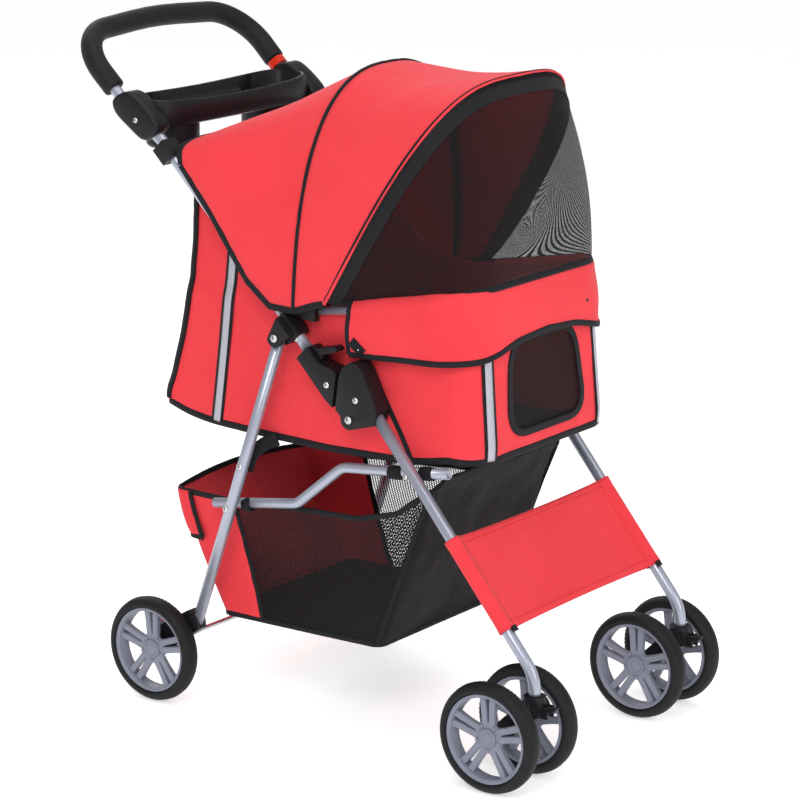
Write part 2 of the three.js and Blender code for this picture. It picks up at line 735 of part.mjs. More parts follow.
// the cabin's outline from above, with round front corners, between two heights
function plan(front, inset, [low, high]) {
  const half = cabinHalfWidth - inset;
  const radius = cabinCorner - inset;
  const shape = new THREE.Shape();
  shape.moveTo(cabinRear - 20, half);
  shape.lineTo(cabinRear - 20, -half);
  shape.absarc(front - radius, -half + radius, radius, -Math.PI / 2, 0, false);
  shape.absarc(front - radius, half - radius, radius, 0, Math.PI / 2, false);
  const body = new THREE.ExtrudeGeometry(shape, { depth: high - low, bevelEnabled: false, curveSegments: 3 });
  body.translate(0, 0, low);
  return body;
}

function cabinBody() {
  const wall = fabricWall;
  const outline = [
    [cabinRear, cabinFloor + 18], [44, cabinFloor], [440, cabinFloor], [cabinFront, cabinFloor + 11],
    [505, 560], [setBack, 600], [setBack, cabinRimFront], [317, 605], [248, onHandle(248)],
    [canopyRearFoot[0] + 3, canopyRearFoot[1] - 12],
  ];
  const sideways = [-cabinHalfWidth, cabinHalfWidth];
  const hollowOutline = [
    [cabinRear + wall, cabinFloor + 18 + wall], [44, cabinFloor + wall], [440, cabinFloor + wall],
    [cabinFront - wall, cabinFloor + 11 + wall], [505 - wall, 560], [setBack - wall, 600],
    [setBack - wall, 900], [canopyRearFoot[0] + 3 + wall, 900],
    [canopyRearFoot[0] + 3 + wall, canopyRearFoot[1] - 14],
  ];
  // the upper part is set back inside the rail and joins the lower part with a narrow ledge
  const stepped = (sideView, inset, ledge) => solid(slab(sideView, sideways)).intersect(join(
    plan(cabinFront - inset, inset, [0, ledge]),
    plan(setBack - inset, inset, [-20, 950]),
  ));
  const shell = stepped(outline, 0, ledgeHeight);
  const hollow = stepped(hollowOutline, wall, ledgeHeight - wall);
  return cut(shell, hollow);
}
place('cabin', surface(cabinBody()), 'red');
place('floor_board', outward(box(
  [48, 438], [-cabinHalfWidth + fabricWall + 2, cabinHalfWidth - fabricWall - 2],
  [cabinFloor + fabricWall + gap, cabinFloor + fabricWall + gap + boardThickness],
)), 'board');

// ---------- rail and its clips ----------

const railAt = (x) => [x, railRear[1] + (x - railRear[0]) * railSlope];
place('rail', outward(tube([
  at(railRear, -railHalfWidth),
  at(railAt(railFrontX), -railHalfWidth, railCorner),
  at(railAt(railFrontX), railHalfWidth, railCorner),
  at(railRear, railHalfWidth),
], railRadius, railRadius - 1.2)), 'silver');

sides.forEach(([label, side]) => {
  const clip = slab([
    [railRear[0] - 22, railRear[1] - 8], [railRear[0] + 12, railRear[1] - 12],
    [railRear[0] + 12, railRear[1] + 11], [railRear[0] - 22, railRear[1] + 12],
  ], onSide(side, railHalfWidth + 3, handleHalfWidth + 2));
  const railBore = tube([at(railAt(railRear[0] - 1), side * railHalfWidth), at(railAt(400), side * railHalfWidth)],
    railRadius + gap);
  place(`canopy_hinge_${label}`, surface(cut(clip, railBore, handleBore)), 'black');
});

// ---------- canopy ----------

const archSteps = 20;

// point of an arch from the right foot (turn 0) over the top to the left foot (turn 1)
function archPoint(foot, top, halfWidth, squareness, turn, inset = 0) {
  const angle = Math.PI * turn;
  const power = 2 / squareness;
  const across = -Math.sign(Math.cos(angle)) * Math.abs(Math.cos(angle)) ** power * (halfWidth - inset);
  const rise = Math.sin(angle) ** power * (1 - inset / Math.hypot(top[0] - foot[0], top[1] - foot[1]));
  return new THREE.Vector3(foot[0] + rise * (top[0] - foot[0]), across, foot[1] + rise * (top[1] - foot[1]));
}

const rearArch = (turn, inset) => archPoint(canopyRearFoot, canopyRearTop, canopyHalfWidth, 5, turn, inset);
const midArch = (turn, inset) => archPoint(midBowFoot, midBowTop, canopyHalfWidth, 2.6, turn, inset);
const frontArch = (turn, inset) => archPoint(frontBowFoot, frontBowTop, canopyHalfWidth, 3.4, turn, inset);

function canopyBody() {
  const rings = [];
  for (let k = 0; k <= archSteps; k += 1) {
    const turn = k / archSteps;
    const skin = (inset) => [
      rearArch(turn, inset),
      rearArch(turn, inset).lerp(midArch(turn, inset), 0.5),
      midArch(turn, inset),
      midArch(turn, inset).lerp(frontArch(turn, inset), 0.5),
      frontArch(turn, inset),
    ];
    rings.push([...skin(0), ...skin(canopySkin).reverse()]);
  }
  return loft(rings);
}
place('canopy', outward(canopyBody()), 'red');

[['mid_bow', midArch], ['front_bow', frontArch]].forEach(([name, arch]) => {
  const stations = Array.from({ length: archSteps + 1 }, (_, k) => arch(k / archSteps, canopySkin + bowRadius + 1));
  place(name, outward(sweep(stations, bowRadius, 0, 8)), 'black');
});

// mesh front: from the front bow down to the cabin's rim
const rimHalfWidth = canopyHalfWidth - 17;
const rimRoute = bentStations([
  [300, -rimHalfWidth, 600], [railFrontX + 14, -rimHalfWidth, 628, 60],
  [railFrontX + 14, rimHalfWidth, 628, 60], [300, rimHalfWidth, 600],
], 30);
const rimLengths = rimRoute.map((spot, k) => (k === 0 ? 0 : spot.distanceTo(rimRoute[k - 1])));
const rimTotal = rimLengths.reduce((sum, length) => sum + length, 0);

function rimPoint(turn) {
  let left = turn * rimTotal;
  let k = 1;
  while (k < rimRoute.length - 1 && left > rimLengths[k]) {
    left -= rimLengths[k];
    k += 1;
  }
  return rimRoute[k - 1].clone().lerp(rimRoute[k], Math.min(left / rimLengths[k], 1));
}

function windowBody() {
  const rings = [];
  for (let k = 0; k <= archSteps; k += 1) {
    const turn = k / archSteps;
    const skin = (inset) => [0.05, 0.35, 0.65, 1].map((down) => {
      const point = frontArch(turn, inset).lerp(rimPoint(turn), down);
      point.x += 8 + windowBulge * Math.sin(Math.PI * down) * Math.sin(Math.PI * turn) - inset;
      point.z += 10 * down;
      return point;
    });
    rings.push([...skin(0), ...skin(1.5).reverse()]);
  }
  return loft(rings);
}
place('mesh_window', outward(windowBody()), 'mesh');

// the origin lies on the floor under the middle of the whole object
const extent = new THREE.Box3().setFromObject(stroller);
stroller.position.x = -(extent.min.x + extent.max.x) / 2;

export default stroller;
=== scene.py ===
# Folding pet stroller: camera, materials and the finished pieces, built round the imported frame.
# Lengths in the dictionaries are millimetres, x counted from the rear axle, z from the floor.
import math
import bpy
import bmesh
from mathutils import Vector, Matrix, noise
from mathutils.bvhtree import BVHTree


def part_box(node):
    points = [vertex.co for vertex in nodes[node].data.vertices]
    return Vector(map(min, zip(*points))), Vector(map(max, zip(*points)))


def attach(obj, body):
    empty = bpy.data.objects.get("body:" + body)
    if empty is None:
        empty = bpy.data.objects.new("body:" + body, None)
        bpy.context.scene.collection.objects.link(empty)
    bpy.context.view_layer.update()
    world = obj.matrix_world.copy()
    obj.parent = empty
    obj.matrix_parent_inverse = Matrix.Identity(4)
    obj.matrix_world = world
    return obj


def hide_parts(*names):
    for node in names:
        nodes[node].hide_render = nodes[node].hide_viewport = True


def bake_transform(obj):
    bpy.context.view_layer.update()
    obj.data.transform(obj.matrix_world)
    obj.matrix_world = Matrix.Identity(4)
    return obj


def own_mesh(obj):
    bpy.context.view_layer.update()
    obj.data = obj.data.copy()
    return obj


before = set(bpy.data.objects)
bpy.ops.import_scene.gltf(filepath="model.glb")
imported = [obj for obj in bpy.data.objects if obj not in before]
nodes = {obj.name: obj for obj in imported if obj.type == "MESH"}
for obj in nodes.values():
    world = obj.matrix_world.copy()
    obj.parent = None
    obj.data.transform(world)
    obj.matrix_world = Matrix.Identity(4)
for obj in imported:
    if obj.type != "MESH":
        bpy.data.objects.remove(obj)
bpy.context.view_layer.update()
scene = bpy.context.scene

axleLow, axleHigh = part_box("rear_axle")
axleX = (axleLow.x + axleHigh.x) / 2
mm = 0.001
sides = (("left", 1), ("right", -1))


def pt(x, y, z):
    return Vector((axleX + x * mm, y * mm, z * mm))


def xOf(p):
    return (p.x - axleX) / mm


# where the main lines run

tubes = dict(radius=8, linkRadius=7, railRadius=6, handleHalf=173, frontHalf=177.6, rearHalf=187)
fold = dict(pivot=(330, 452), rearPivot=(214, 548), linkRear=(121, 295), linkFront=(419, 388),
            handleAngle=45.6, legAngle=50.3, legOffset=33.8)
wheelbase = 621.5
trail = 40.2
tracks = dict(rear=210.4, front=177.6, twin=44.3)    # half widths: rear wheels, caster axes, axis to wheel

upHandle = (-math.cos(math.radians(fold["handleAngle"])), math.sin(math.radians(fold["handleAngle"])))
offHandle = (math.sin(math.radians(fold["handleAngle"])), math.cos(math.radians(fold["handleAngle"])))
downLeg = (math.cos(math.radians(fold["legAngle"])), -math.sin(math.radians(fold["legAngle"])))


def byHandle(along, out=0):
    return (fold["pivot"][0] + along * upHandle[0] + out * offHandle[0],
            fold["pivot"][1] + along * upHandle[1] + out * offHandle[1])


legStart = (fold["pivot"][0] - fold["legOffset"] * downLeg[1] - 6 * downLeg[0],
            fold["pivot"][1] + fold["legOffset"] * downLeg[0] - 6 * downLeg[1])


def alongLeg(distance, out=0):
    return (legStart[0] + distance * downLeg[0] - out * downLeg[1],
            legStart[1] + distance * downLeg[1] + out * downLeg[0])


# material helpers

def newMaterial(name, colour, roughness, metallic=0.0, **extra):
    mat = bpy.data.materials.new(name)
    mat.use_nodes = True
    tree = mat.node_tree
    shader = tree.nodes["Principled BSDF"]
    shader.inputs["Base Color"].default_value = (*colour, 1)
    shader.inputs["Roughness"].default_value = roughness
    shader.inputs["Metallic"].default_value = metallic
    for key, value in extra.items():
        shader.inputs[key].default_value = value
    return mat, tree, shader


def coords(tree, kind="Object"):
    return tree.nodes.new("ShaderNodeTexCoord").outputs[kind]


def noiseNode(tree, vector, scale, detail=3.0, rough=0.55):
    node = tree.nodes.new("ShaderNodeTexNoise")
    node.inputs["Scale"].default_value = scale
    node.inputs["Detail"].default_value = detail
    node.inputs["Roughness"].default_value = rough
    tree.links.new(vector, node.inputs["Vector"])
    return node.outputs["Fac"]


def waveNode(tree, vector, scale, direction, profile="SIN", distortion=0.0):
    node = tree.nodes.new("ShaderNodeTexWave")
    node.wave_type = "BANDS"
    node.bands_direction = direction
    node.wave_profile = profile
    node.inputs["Scale"].default_value = scale
    node.inputs["Distortion"].default_value = distortion
    tree.links.new(vector, node.inputs["Vector"])
    return node.outputs["Fac"]


def math2(tree, kind, a, b):
    node = tree.nodes.new("ShaderNodeMath")
    node.operation = kind
    for socket, value in zip(node.inputs, (a, b)):
        if isinstance(value, (int, float)):
            socket.default_value = value
        else:
            tree.links.new(value, socket)
    return node.outputs[0]


def rangeNode(tree, value, low, high):
    node = tree.nodes.new("ShaderNodeMapRange")
    node.inputs["To Min"].default_value = low
    node.inputs["To Max"].default_value = high
    tree.links.new(value, node.inputs["Value"])
    return node.outputs["Result"]


def mixColour(tree, factor, first, second):
    node = tree.nodes.new("ShaderNodeMix")
    node.data_type = "RGBA"
    tree.links.new(factor, node.inputs["Factor"])
    node.inputs["A"].default_value = (*first, 1)
    node.inputs["B"].default_value = (*second, 1)
    return node.outputs["Result"]


def bumpOn(tree, shader, height, strength, distance, after=None):
    node = tree.nodes.new("ShaderNodeBump")
    node.inputs["Strength"].default_value = strength
    node.inputs["Distance"].default_value = distance
    tree.links.new(height, node.inputs["Height"])
    if after is not None:
        tree.links.new(after, node.inputs["Normal"])
    tree.links.new(node.outputs["Normal"], shader.inputs["Normal"])
    return node.outputs["Normal"]


# materials

def wovenFabric(name, light, dark, pitch=0.9, sheen=0.08):
    # plain weave on UVs in metres, with soft tone drift and broad soft creases
    mat, tree, shader = newMaterial(name, light, 0.82)
    shader.inputs["Sheen Weight"].default_value = sheen
    shader.inputs["Sheen Roughness"].default_value = 0.5
    shader.inputs["Specular IOR Level"].default_value = 0.25
    uv = coords(tree, "UV")
    across = waveNode(tree, uv, 0.314 / (pitch * mm) / 2, "X")
    along = waveNode(tree, uv, 0.314 / (pitch * mm) / 2, "Y")
    weave = math2(tree, "MULTIPLY", across, along)
    place = coords(tree, "Object")
    drift = noiseNode(tree, place, 7, 4)
    fleck = noiseNode(tree, place, 900, 2)
    tone = math2(tree, "ADD", math2(tree, "MULTIPLY", drift, 0.75),
                 math2(tree, "ADD", math2(tree, "MULTIPLY", weave, 0.2), math2(tree, "MULTIPLY", fleck, 0.12)))
    tree.links.new(mixColour(tree, tone, dark, light), shader.inputs["Base Color"])
    tree.links.new(rangeNode(tree, fleck, 0.72, 0.92), shader.inputs["Roughness"])
    crease = noiseNode(tree, place, 11, 5, 0.55)
    soft = bumpOn(tree, shader, crease, 0.4, 0.02)
    bumpOn(tree, shader, weave, 0.35, 0.0003, soft)
    return mat


def webbing(name, colour, pitch=1.6):
    mat, tree, shader = newMaterial(name, colour, 0.72)
    shader.inputs["Sheen Weight"].default_value = 0.03
    shader.inputs["Specular IOR Level"].default_value = 0.2
    uv = coords(tree, "UV")
    rib = waveNode(tree, uv, 0.314 / (pitch * mm) / 2, "Y")
    fuzz = noiseNode(tree, coords(tree), 700, 2)
    tree.links.new(mixColour(tree, fuzz, tuple(c * 0.6 for c in colour), tuple(c * 1.8 for c in colour)),
                   shader.inputs["Base Color"])
    bumpOn(tree, shader, math2(tree, "ADD", rib, fuzz), 0.5, 0.0003)
    return mat


def netting(name, colour, pitch, coverage):
    # knitted net: threads in two directions, the holes let light through
    mat, tree, shader = newMaterial(name, colour, 0.6)
    shader.inputs["Sheen Weight"].default_value = 0.02
    shader.inputs["Specular IOR Level"].default_value = 0.15
    uv = coords(tree, "UV")
    turn = tree.nodes.new("ShaderNodeMapping")
    turn.inputs["Rotation"].default_value = (0, 0, math.radians(45))
    tree.links.new(uv, turn.inputs["Vector"])
    first = waveNode(tree, turn.outputs["Vector"], 0.314 / (pitch * mm), "X")
    second = waveNode(tree, turn.outputs["Vector"], 0.314 / (pitch * mm), "Y")
    thread = math2(tree, "MAXIMUM", first, second)
    alpha = math2(tree, "GREATER_THAN", thread, coverage)
    tree.links.new(alpha, shader.inputs["Alpha"])
    bumpOn(tree, shader, thread, 0.4, 0.0004)
    return mat


def paintedTube():
    mat, tree, shader = newMaterial("silverPaint", (0.36, 0.385, 0.47), 0.32, 0.55)
    shader.inputs["Coat Weight"].default_value = 0.25
    shader.inputs["Coat Roughness"].default_value = 0.12
    place = coords(tree)
    flake = noiseNode(tree, place, 1600, 2)
    wear = noiseNode(tree, place, 30, 4)
    tree.links.new(mixColour(tree, flake, (0.31, 0.33, 0.41), (0.43, 0.455, 0.54)), shader.inputs["Base Color"])
    tree.links.new(rangeNode(tree, wear, 0.26, 0.4), shader.inputs["Roughness"])
    bumpOn(tree, shader, flake, 0.08, 0.0002)
    return mat


def mouldedPlastic(name, colour, roughness, grain=900, depth=0.00025):
    mat, tree, shader = newMaterial(name, colour, roughness)
    shader.inputs["Specular IOR Level"].default_value = 0.25
    place = coords(tree)
    grit = noiseNode(tree, place, grain, 3)
    scuff = noiseNode(tree, place, 22, 5)
    tree.links.new(mixColour(tree, scuff, tuple(c * 0.8 for c in colour), tuple(c * 1.25 for c in colour)),
                   shader.inputs["Base Color"])
    tree.links.new(rangeNode(tree, scuff, roughness - 0.07, roughness + 0.1), shader.inputs["Roughness"])
    bumpOn(tree, shader, grit, 0.25, depth)
    return mat


def foamMaterial():
    mat, tree, shader = newMaterial("gripFoam", (0.007, 0.007, 0.009), 0.66)
    shader.inputs["Sheen Weight"].default_value = 0.03
    shader.inputs["Specular IOR Level"].default_value = 0.25
    cells = tree.nodes.new("ShaderNodeTexVoronoi")
    cells.inputs["Scale"].default_value = 900
    tree.links.new(coords(tree), cells.inputs["Vector"])
    broad = noiseNode(tree, coords(tree), 40, 3)
    tree.links.new(rangeNode(tree, broad, 0.52, 0.72), shader.inputs["Roughness"])
    bumpOn(tree, shader, cells.outputs["Distance"], 0.3, 0.0004)
    return mat


def tyreMaterial():
    mat, tree, shader = newMaterial("tyreRubber", (0.008, 0.008, 0.009), 0.6)
    shader.inputs["Specular IOR Level"].default_value = 0.22
    dust = noiseNode(tree, coords(tree), 55, 5)
    tree.links.new(mixColour(tree, dust, (0.005, 0.005, 0.006), (0.013, 0.013, 0.015)),
                   shader.inputs["Base Color"])
    tree.links.new(rangeNode(tree, dust, 0.5, 0.68), shader.inputs["Roughness"])
    bumpOn(tree, shader, noiseNode(tree, coords(tree), 800, 2), 0.2, 0.0002)
    return mat


def brightSteel():
    mat, tree, shader = newMaterial("brightSteel", (0.62, 0.62, 0.64), 0.26, 1.0)
    streak = noiseNode(tree, coords(tree), 260, 4)
    tree.links.new(rangeNode(tree, streak, 0.18, 0.38), shader.inputs["Roughness"])
    bumpOn(tree, shader, streak, 0.1, 0.0001)
    return mat


def reflectiveTape():
    mat, tree, shader = newMaterial("reflectiveTape", (0.36, 0.36, 0.41), 0.4, 0.35)
    beads = tree.nodes.new("ShaderNodeTexVoronoi")
    beads.inputs["Scale"].default_value = 1200
    tree.links.new(coords(tree), beads.inputs["Vector"])
    tree.links.new(mixColour(tree, beads.outputs["Distance"], (0.3, 0.3, 0.35), (0.5, 0.5, 0.56)),
                   shader.inputs["Base Color"])
    bumpOn(tree, shader, beads.outputs["Distance"], 0.2, 0.0002)
    return mat


redFabric = wovenFabric("redFabric", (0.86, 0.052, 0.066), (0.66, 0.028, 0.04))
blackFabric = wovenFabric("blackFabric", (0.012, 0.012, 0.014), (0.005, 0.005, 0.006), sheen=0.01)
binding = webbing("blackBinding", (0.007, 0.007, 0.009))
zipTape = webbing("zipTape", (0.007, 0.007, 0.009), 1.2)
windowNet = netting("windowNet", (0.006, 0.004, 0.005), 1.5, 0.57)
basketNet = netting("basketNet", (0.007, 0.005, 0.006), 3.2, 0.56)
silverPaint = paintedTube()
blackPlastic = mouldedPlastic("blackPlastic", (0.007, 0.007, 0.009), 0.44)
redPlastic = mouldedPlastic("redPlastic", (0.68, 0.035, 0.015), 0.35)
rimPlastic = mouldedPlastic("rimPlastic", (0.205, 0.218, 0.275), 0.36)
foam = foamMaterial()
rubber = tyreMaterial()
steel = brightSteel()
tape = reflectiveTape()
print("materials made")


# mesh helpers

def addPiece(obj, body, replaced=()):
    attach(obj, body)
    if replaced:
        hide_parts(*replaced)
    return obj


def meshPiece(name, verts, faces, mat, uvs=None, smooth=True):
    mesh = bpy.data.meshes.new(name)
    mesh.from_pydata([tuple(v) for v in verts], [], faces)
    mesh.update()
    if uvs:
        layer = mesh.uv_layers.new(name="UVMap")
        for loop in mesh.loops:
            layer.data[loop.index].uv = uvs[loop.vertex_index]
    mesh.materials.append(mat)
    for poly in mesh.polygons:
        poly.use_smooth = smooth
    obj = bpy.data.objects.new(name, mesh)
    scene.collection.objects.link(obj)
    return obj


def applyModifiers(obj):
    depsgraph = bpy.context.evaluated_depsgraph_get()
    mesh = bpy.data.meshes.new_from_object(obj.evaluated_get(depsgraph))
    obj.modifiers.clear()
    obj.data = mesh
    return obj


def thicken(obj, thickness, offset=0.0):
    solidify = obj.modifiers.new("cloth", "SOLIDIFY")
    solidify.thickness = thickness * mm
    solidify.offset = offset
    return applyModifiers(obj)


def cleanMesh(obj, weld=0.0):
    # doubled corners welded, every face turned outwards
    bm = bmesh.new()
    bm.from_mesh(obj.data)
    if weld:
        bmesh.ops.remove_doubles(bm, verts=bm.verts, dist=weld)
    bmesh.ops.recalc_face_normals(bm, faces=bm.faces)
    bm.to_mesh(obj.data)
    bm.free()
    return obj


def bentPath(corners, step=7):
    # corners are (x, y, z, bend radius) in millimetres; each bend becomes an arc
    points = [Vector(c[:3]) for c in corners]
    path = [points[0]]
    for i in range(1, len(points) - 1):
        bend = corners[i][3] if len(corners[i]) > 3 else 0
        back = (points[i - 1] - points[i]).normalized()
        ahead = (points[i + 1] - points[i]).normalized()
        turn = math.pi - back.angle(ahead)
        if bend == 0 or turn < 0.01:
            path.append(points[i])
            continue
        setback = bend * math.tan(turn / 2)
        centre = points[i] + (back + ahead).normalized() * bend / math.cos(turn / 2)
        first = points[i] + back * setback - centre
        last = points[i] + ahead * setback - centre
        axis = first.cross(last).normalized()
        steps = max(3, math.ceil(math.degrees(turn) / step))
        for k in range(steps + 1):
            path.append(centre + Matrix.Rotation(turn * k / steps, 3, axis) @ first)
    path.append(points[-1])
    return [pt(*p) for p in path]


def sweep(name, path, section, mat, up=None, capped=True):
    # section is a loop of (across, up) offsets in metres, or a function of the station giving one
    count = len(path)
    tangents = []
    for i in range(count):
        tangents.append((path[min(i + 1, count - 1)] - path[max(i - 1, 0)]).normalized())
    if up is None:
        start = Vector((0, 1, 0)) if abs(tangents[0].y) < 0.9 else Vector((0, 0, 1))
        ups = [(start - tangents[0] * start.dot(tangents[0])).normalized()]
        for i in range(1, count):
            turn = tangents[i - 1].rotation_difference(tangents[i])
            ups.append((turn @ ups[-1]).normalized())
    else:
        ups = [(u - t * u.dot(t)).normalized() for u, t in zip(up, tangents)]
    verts, faces, uvs = [], [], []
    travel = 0.0
    size = 0
    for i, (p, t, u) in enumerate(zip(path, tangents, ups)):
        loop = section(i / (count - 1)) if callable(section) else section
        size = len(loop)
        side = t.cross(u)
        if i:
            travel += (p - path[i - 1]).length
        girth = 0.0
        for k, (a, b) in enumerate(loop):
            verts.append(p + side * a + u * b)
            if k:
                girth += math.hypot(a - loop[k - 1][0], b - loop[k - 1][1])
            uvs.append((girth, travel))
    for i in range(count - 1):
        n = i + 1
        for k in range(size):
            m = (k + 1) % size
            faces.append((i * size + k, n * size + k, n * size + m, i * size + m))
    if capped:
        faces.append(tuple(range(size)))
        faces.append(tuple(reversed(range((count - 1) * size, count * size))))
    return cleanMesh(meshPiece(name, verts, faces, mat, uvs))


def ringSection(radius, sides=20):
    return [(radius * mm * math.cos(2 * math.pi * k / sides), radius * mm * math.sin(2 * math.pi * k / sides))
            for k in range(sides)]


def tubePiece(name, corners, radius, mat, body, replaced=(), around=24, bore=None):
    path = bentPath(corners)
    obj = sweep(name, path, ringSection(radius, around), mat, capped=bore is None)
    if bore:
        thicken(obj, bore, -1)
    return addPiece(obj, body, replaced)


def lathePiece(name, profile, mat, segments=64):
    # profile is (radius, height) pairs about +Y, in millimetres, closed on the axis or on itself
    verts, faces = [], []
    count = len(profile)
    for i in range(segments):
        a = 2 * math.pi * i / segments
        for r, h in profile:
            verts.append(Vector((r * mm * math.cos(a), h * mm, r * mm * math.sin(a))))
    for i in range(segments):
        j = (i + 1) % segments
        for k in range(count - 1):
            faces.append((i * count + k, j * count + k, j * count + k + 1, i * count + k + 1))
    return cleanMesh(meshPiece(name, verts, faces, mat), 1e-6)


def smoothByAngle(obj, degrees=40):
    for poly in obj.data.polygons:
        poly.use_smooth = True
    obj.data.set_sharp_from_angle(angle=math.radians(degrees))
    return obj


def refined(node, mat, body, bevel=1.0, segments=3, flatAngle=3.0):
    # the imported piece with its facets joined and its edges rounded
    obj = bpy.data.objects.new(node + "_finish", nodes[node].data.copy())
    scene.collection.objects.link(obj)
    obj.data.materials.clear()
    obj.data.materials.append(mat)
    bm = bmesh.new()
    bm.from_mesh(obj.data)
    bmesh.ops.remove_doubles(bm, verts=bm.verts, dist=5e-6)
    bmesh.ops.dissolve_limit(bm, angle_limit=math.radians(flatAngle), verts=bm.verts, edges=bm.edges)
    bm.to_mesh(obj.data)
    bm.free()
    if bevel:
        edge = obj.modifiers.new("edge", "BEVEL")
        edge.width = bevel * mm
        edge.segments = segments
        edge.limit_method = "ANGLE"
        edge.angle_limit = math.radians(32)
        edge.use_clamp_overlap = True
        applyModifiers(obj)
    smoothByAngle(obj, 35)
    return addPiece(obj, body, [node])


# camera, light and floor

view = dict(place=(2764.08, -3352.42, 1503.10), yaw=126.615, pitch=-14.389, lens=141.29)


def makeCamera():
    camera = bpy.data.objects.new("camera", bpy.data.cameras.new("camera"))
    scene.collection.objects.link(camera)
    camera.data.lens = view["lens"]
    camera.data.sensor_width = 36
    camera.data.clip_end = 60
    camera.location = pt(*view["place"])
    yaw, pitch = math.radians(view["yaw"]), math.radians(view["pitch"])
    ahead = Vector((math.cos(pitch) * math.cos(yaw), math.cos(pitch) * math.sin(yaw), math.sin(pitch)))
    camera.rotation_euler = ahead.to_track_quat("-Z", "Y").to_euler()
    scene.camera = camera


lights = dict(sky=0.5, keyPower=72, fillPower=26, backPower=30, topPower=30, floorGlow=0.5)


def addArea(name, place, aim, size, power):
    light = bpy.data.lights.new(name, "AREA")
    light.shape = "DISK"
    light.size = size
    light.energy = power
    obj = bpy.data.objects.new(name, light)
    scene.collection.objects.link(obj)
    obj.location = place
    obj.rotation_euler = (Vector(aim) - Vector(place)).to_track_quat("-Z", "Y").to_euler()


def makeStudio():
    scene.view_settings.view_transform = "Standard"
    world = bpy.data.worlds.new("studio")
    world.use_nodes = True
    world.node_tree.nodes["Background"].inputs["Color"].default_value = (1, 1, 1, 1)
    world.node_tree.nodes["Background"].inputs["Strength"].default_value = lights["sky"]
    scene.world = world
    addArea("key", (1.6, -3.2, 3.0), (0, 0, 0.5), 2.2, lights["keyPower"])
    addArea("fill", (3.2, -0.4, 1.4), (0, 0, 0.5), 2.0, lights["fillPower"])
    addArea("back", (-2.6, 1.6, 2.4), (0, 0, 0.6), 2.0, lights["backPower"])
    addArea("top", (0, 0, 3.6), (0, 0, 0.5), 2.4, lights["topPower"])
    floorMat, tree, shader = newMaterial("studioFloor", (0.93, 0.93, 0.93), 0.85)
    grain = noiseNode(tree, coords(tree), 3, 2)
    tree.links.new(mixColour(tree, grain, (0.92, 0.92, 0.92), (0.94, 0.94, 0.94)), shader.inputs["Base Color"])
    shader.inputs["Emission Color"].default_value = (1, 1, 1, 1)
    shader.inputs["Emission Strength"].default_value = lights["floorGlow"]
    verts = [Vector((x, y, -0.0005)) for x, y in ((-9, -9), (9, -9), (9, 9), (-9, 9))]
    floor = meshPiece("studioFloor", verts, [(0, 1, 2, 3)], floorMat)


makeCamera()
makeStudio()
print("camera and studio set")


# handle and grip

handle = dict(tubeEnd=44, trayBend=468.8, gripBend=(-66, 835.5), gripAngle=44, reach=132, bow=14, corner=70,
              foamRadius=15, foamStart=22, collarStart=9.5, collarLength=11)


def gripPoint(reach):
    a = math.radians(handle["gripAngle"])
    return handle["gripBend"][0] - reach * math.cos(a), handle["gripBend"][1] + reach * math.sin(a)


def corner(xz, y, bend=0):
    return (xz[0], y, xz[1], bend)


half = tubes["handleHalf"]
handleCorners = []
for sign in (-1, 1):
    row = [corner(byHandle(handle["tubeEnd"]), sign * half),
           corner(byHandle(handle["trayBend"]), sign * half, 60),
           corner(handle["gripBend"], sign * half, 60),
           corner(gripPoint(handle["reach"] - handle["bow"]), sign * (half + 3), handle["corner"])]
    handleCorners += row + [corner(gripPoint(handle["reach"]), 0, 600)] if sign < 0 else row[::-1]
tubePiece("handleTube", handleCorners, tubes["radius"], silverPaint, "upper_frame",
          ["handle_tube"], 28)


def makeGrip():
    route = bentPath(handleCorners, 5)
    gx, gz = gripPoint(handle["foamStart"])
    slope = 3 * handle["foamStart"] / (handle["reach"] - handle["bow"])
    ends = [pt(gx, sign * (half + slope), gz) for sign in (-1, 1)]
    middle = [p for p in route if p.x < ends[0].x - 0.005]
    ahead = (middle[0] - ends[0]).normalized()
    back = (middle[-1] - ends[1]).normalized()
    lip = (0.0, 0.0006, 0.0018, 0.004)
    path = [ends[0] + ahead * d for d in lip] + middle + [ends[1] + back * d for d in reversed(lip)]
    count = len(path)
    radii = [12.6, 14.1, 14.8, 15] + [15] * len(middle) + [15, 14.8, 14.1, 12.6]

    def section(f):
        r = radii[round(f * (count - 1))]
        return ringSection(r, 28)
    grip = sweep("gripFoam", path, section, foam)
    return addPiece(grip, "upper_frame", ["grip_foam"])


makeGrip()


def turned(obj, origin, axis):
    # stands a lathed piece (axis +Y) at origin along axis
    turn = Vector((0, 1, 0)).rotation_difference(Vector(axis).normalized()).to_matrix().to_4x4()
    obj.data.transform(Matrix.Translation(origin) @ turn)
    return obj


def makeCollar():
    profile = [(8.5, 0)]
    for k in range(13):
        profile.append((12.1 if k % 4 == 2 else 13.4 if k % 4 == 0 else 12.9, handle["collarLength"] * k / 12))
    profile += [(8.5, handle["collarLength"]), (8.5, 0)]
    ring = lathePiece("gripCollar", profile, redPlastic)
    x, z = gripPoint(handle["collarStart"])
    a = math.radians(handle["gripAngle"])
    turned(ring, pt(x, half + 0.4, z), (-math.cos(a), 0, math.sin(a)))
    smoothByAngle(ring, 50)
    addPiece(ring, "upper_frame", ["grip_collar"])


makeCollar()
print("handle and grip made")


# the other bent tubes

legKnee = alongLeg((wheelbase - legStart[0]) / downLeg[0])
railLine = dict(rear=(250, 583.7), frontX=498, slope=0.136, half=161, corner=60)
legFoot = (60, 115)
legTop = (fold["rearPivot"][0] + 2, fold["rearPivot"][1] + 5.6)


def railAt(x):
    return x, railLine["rear"][1] + (x - railLine["rear"][0]) * railLine["slope"]


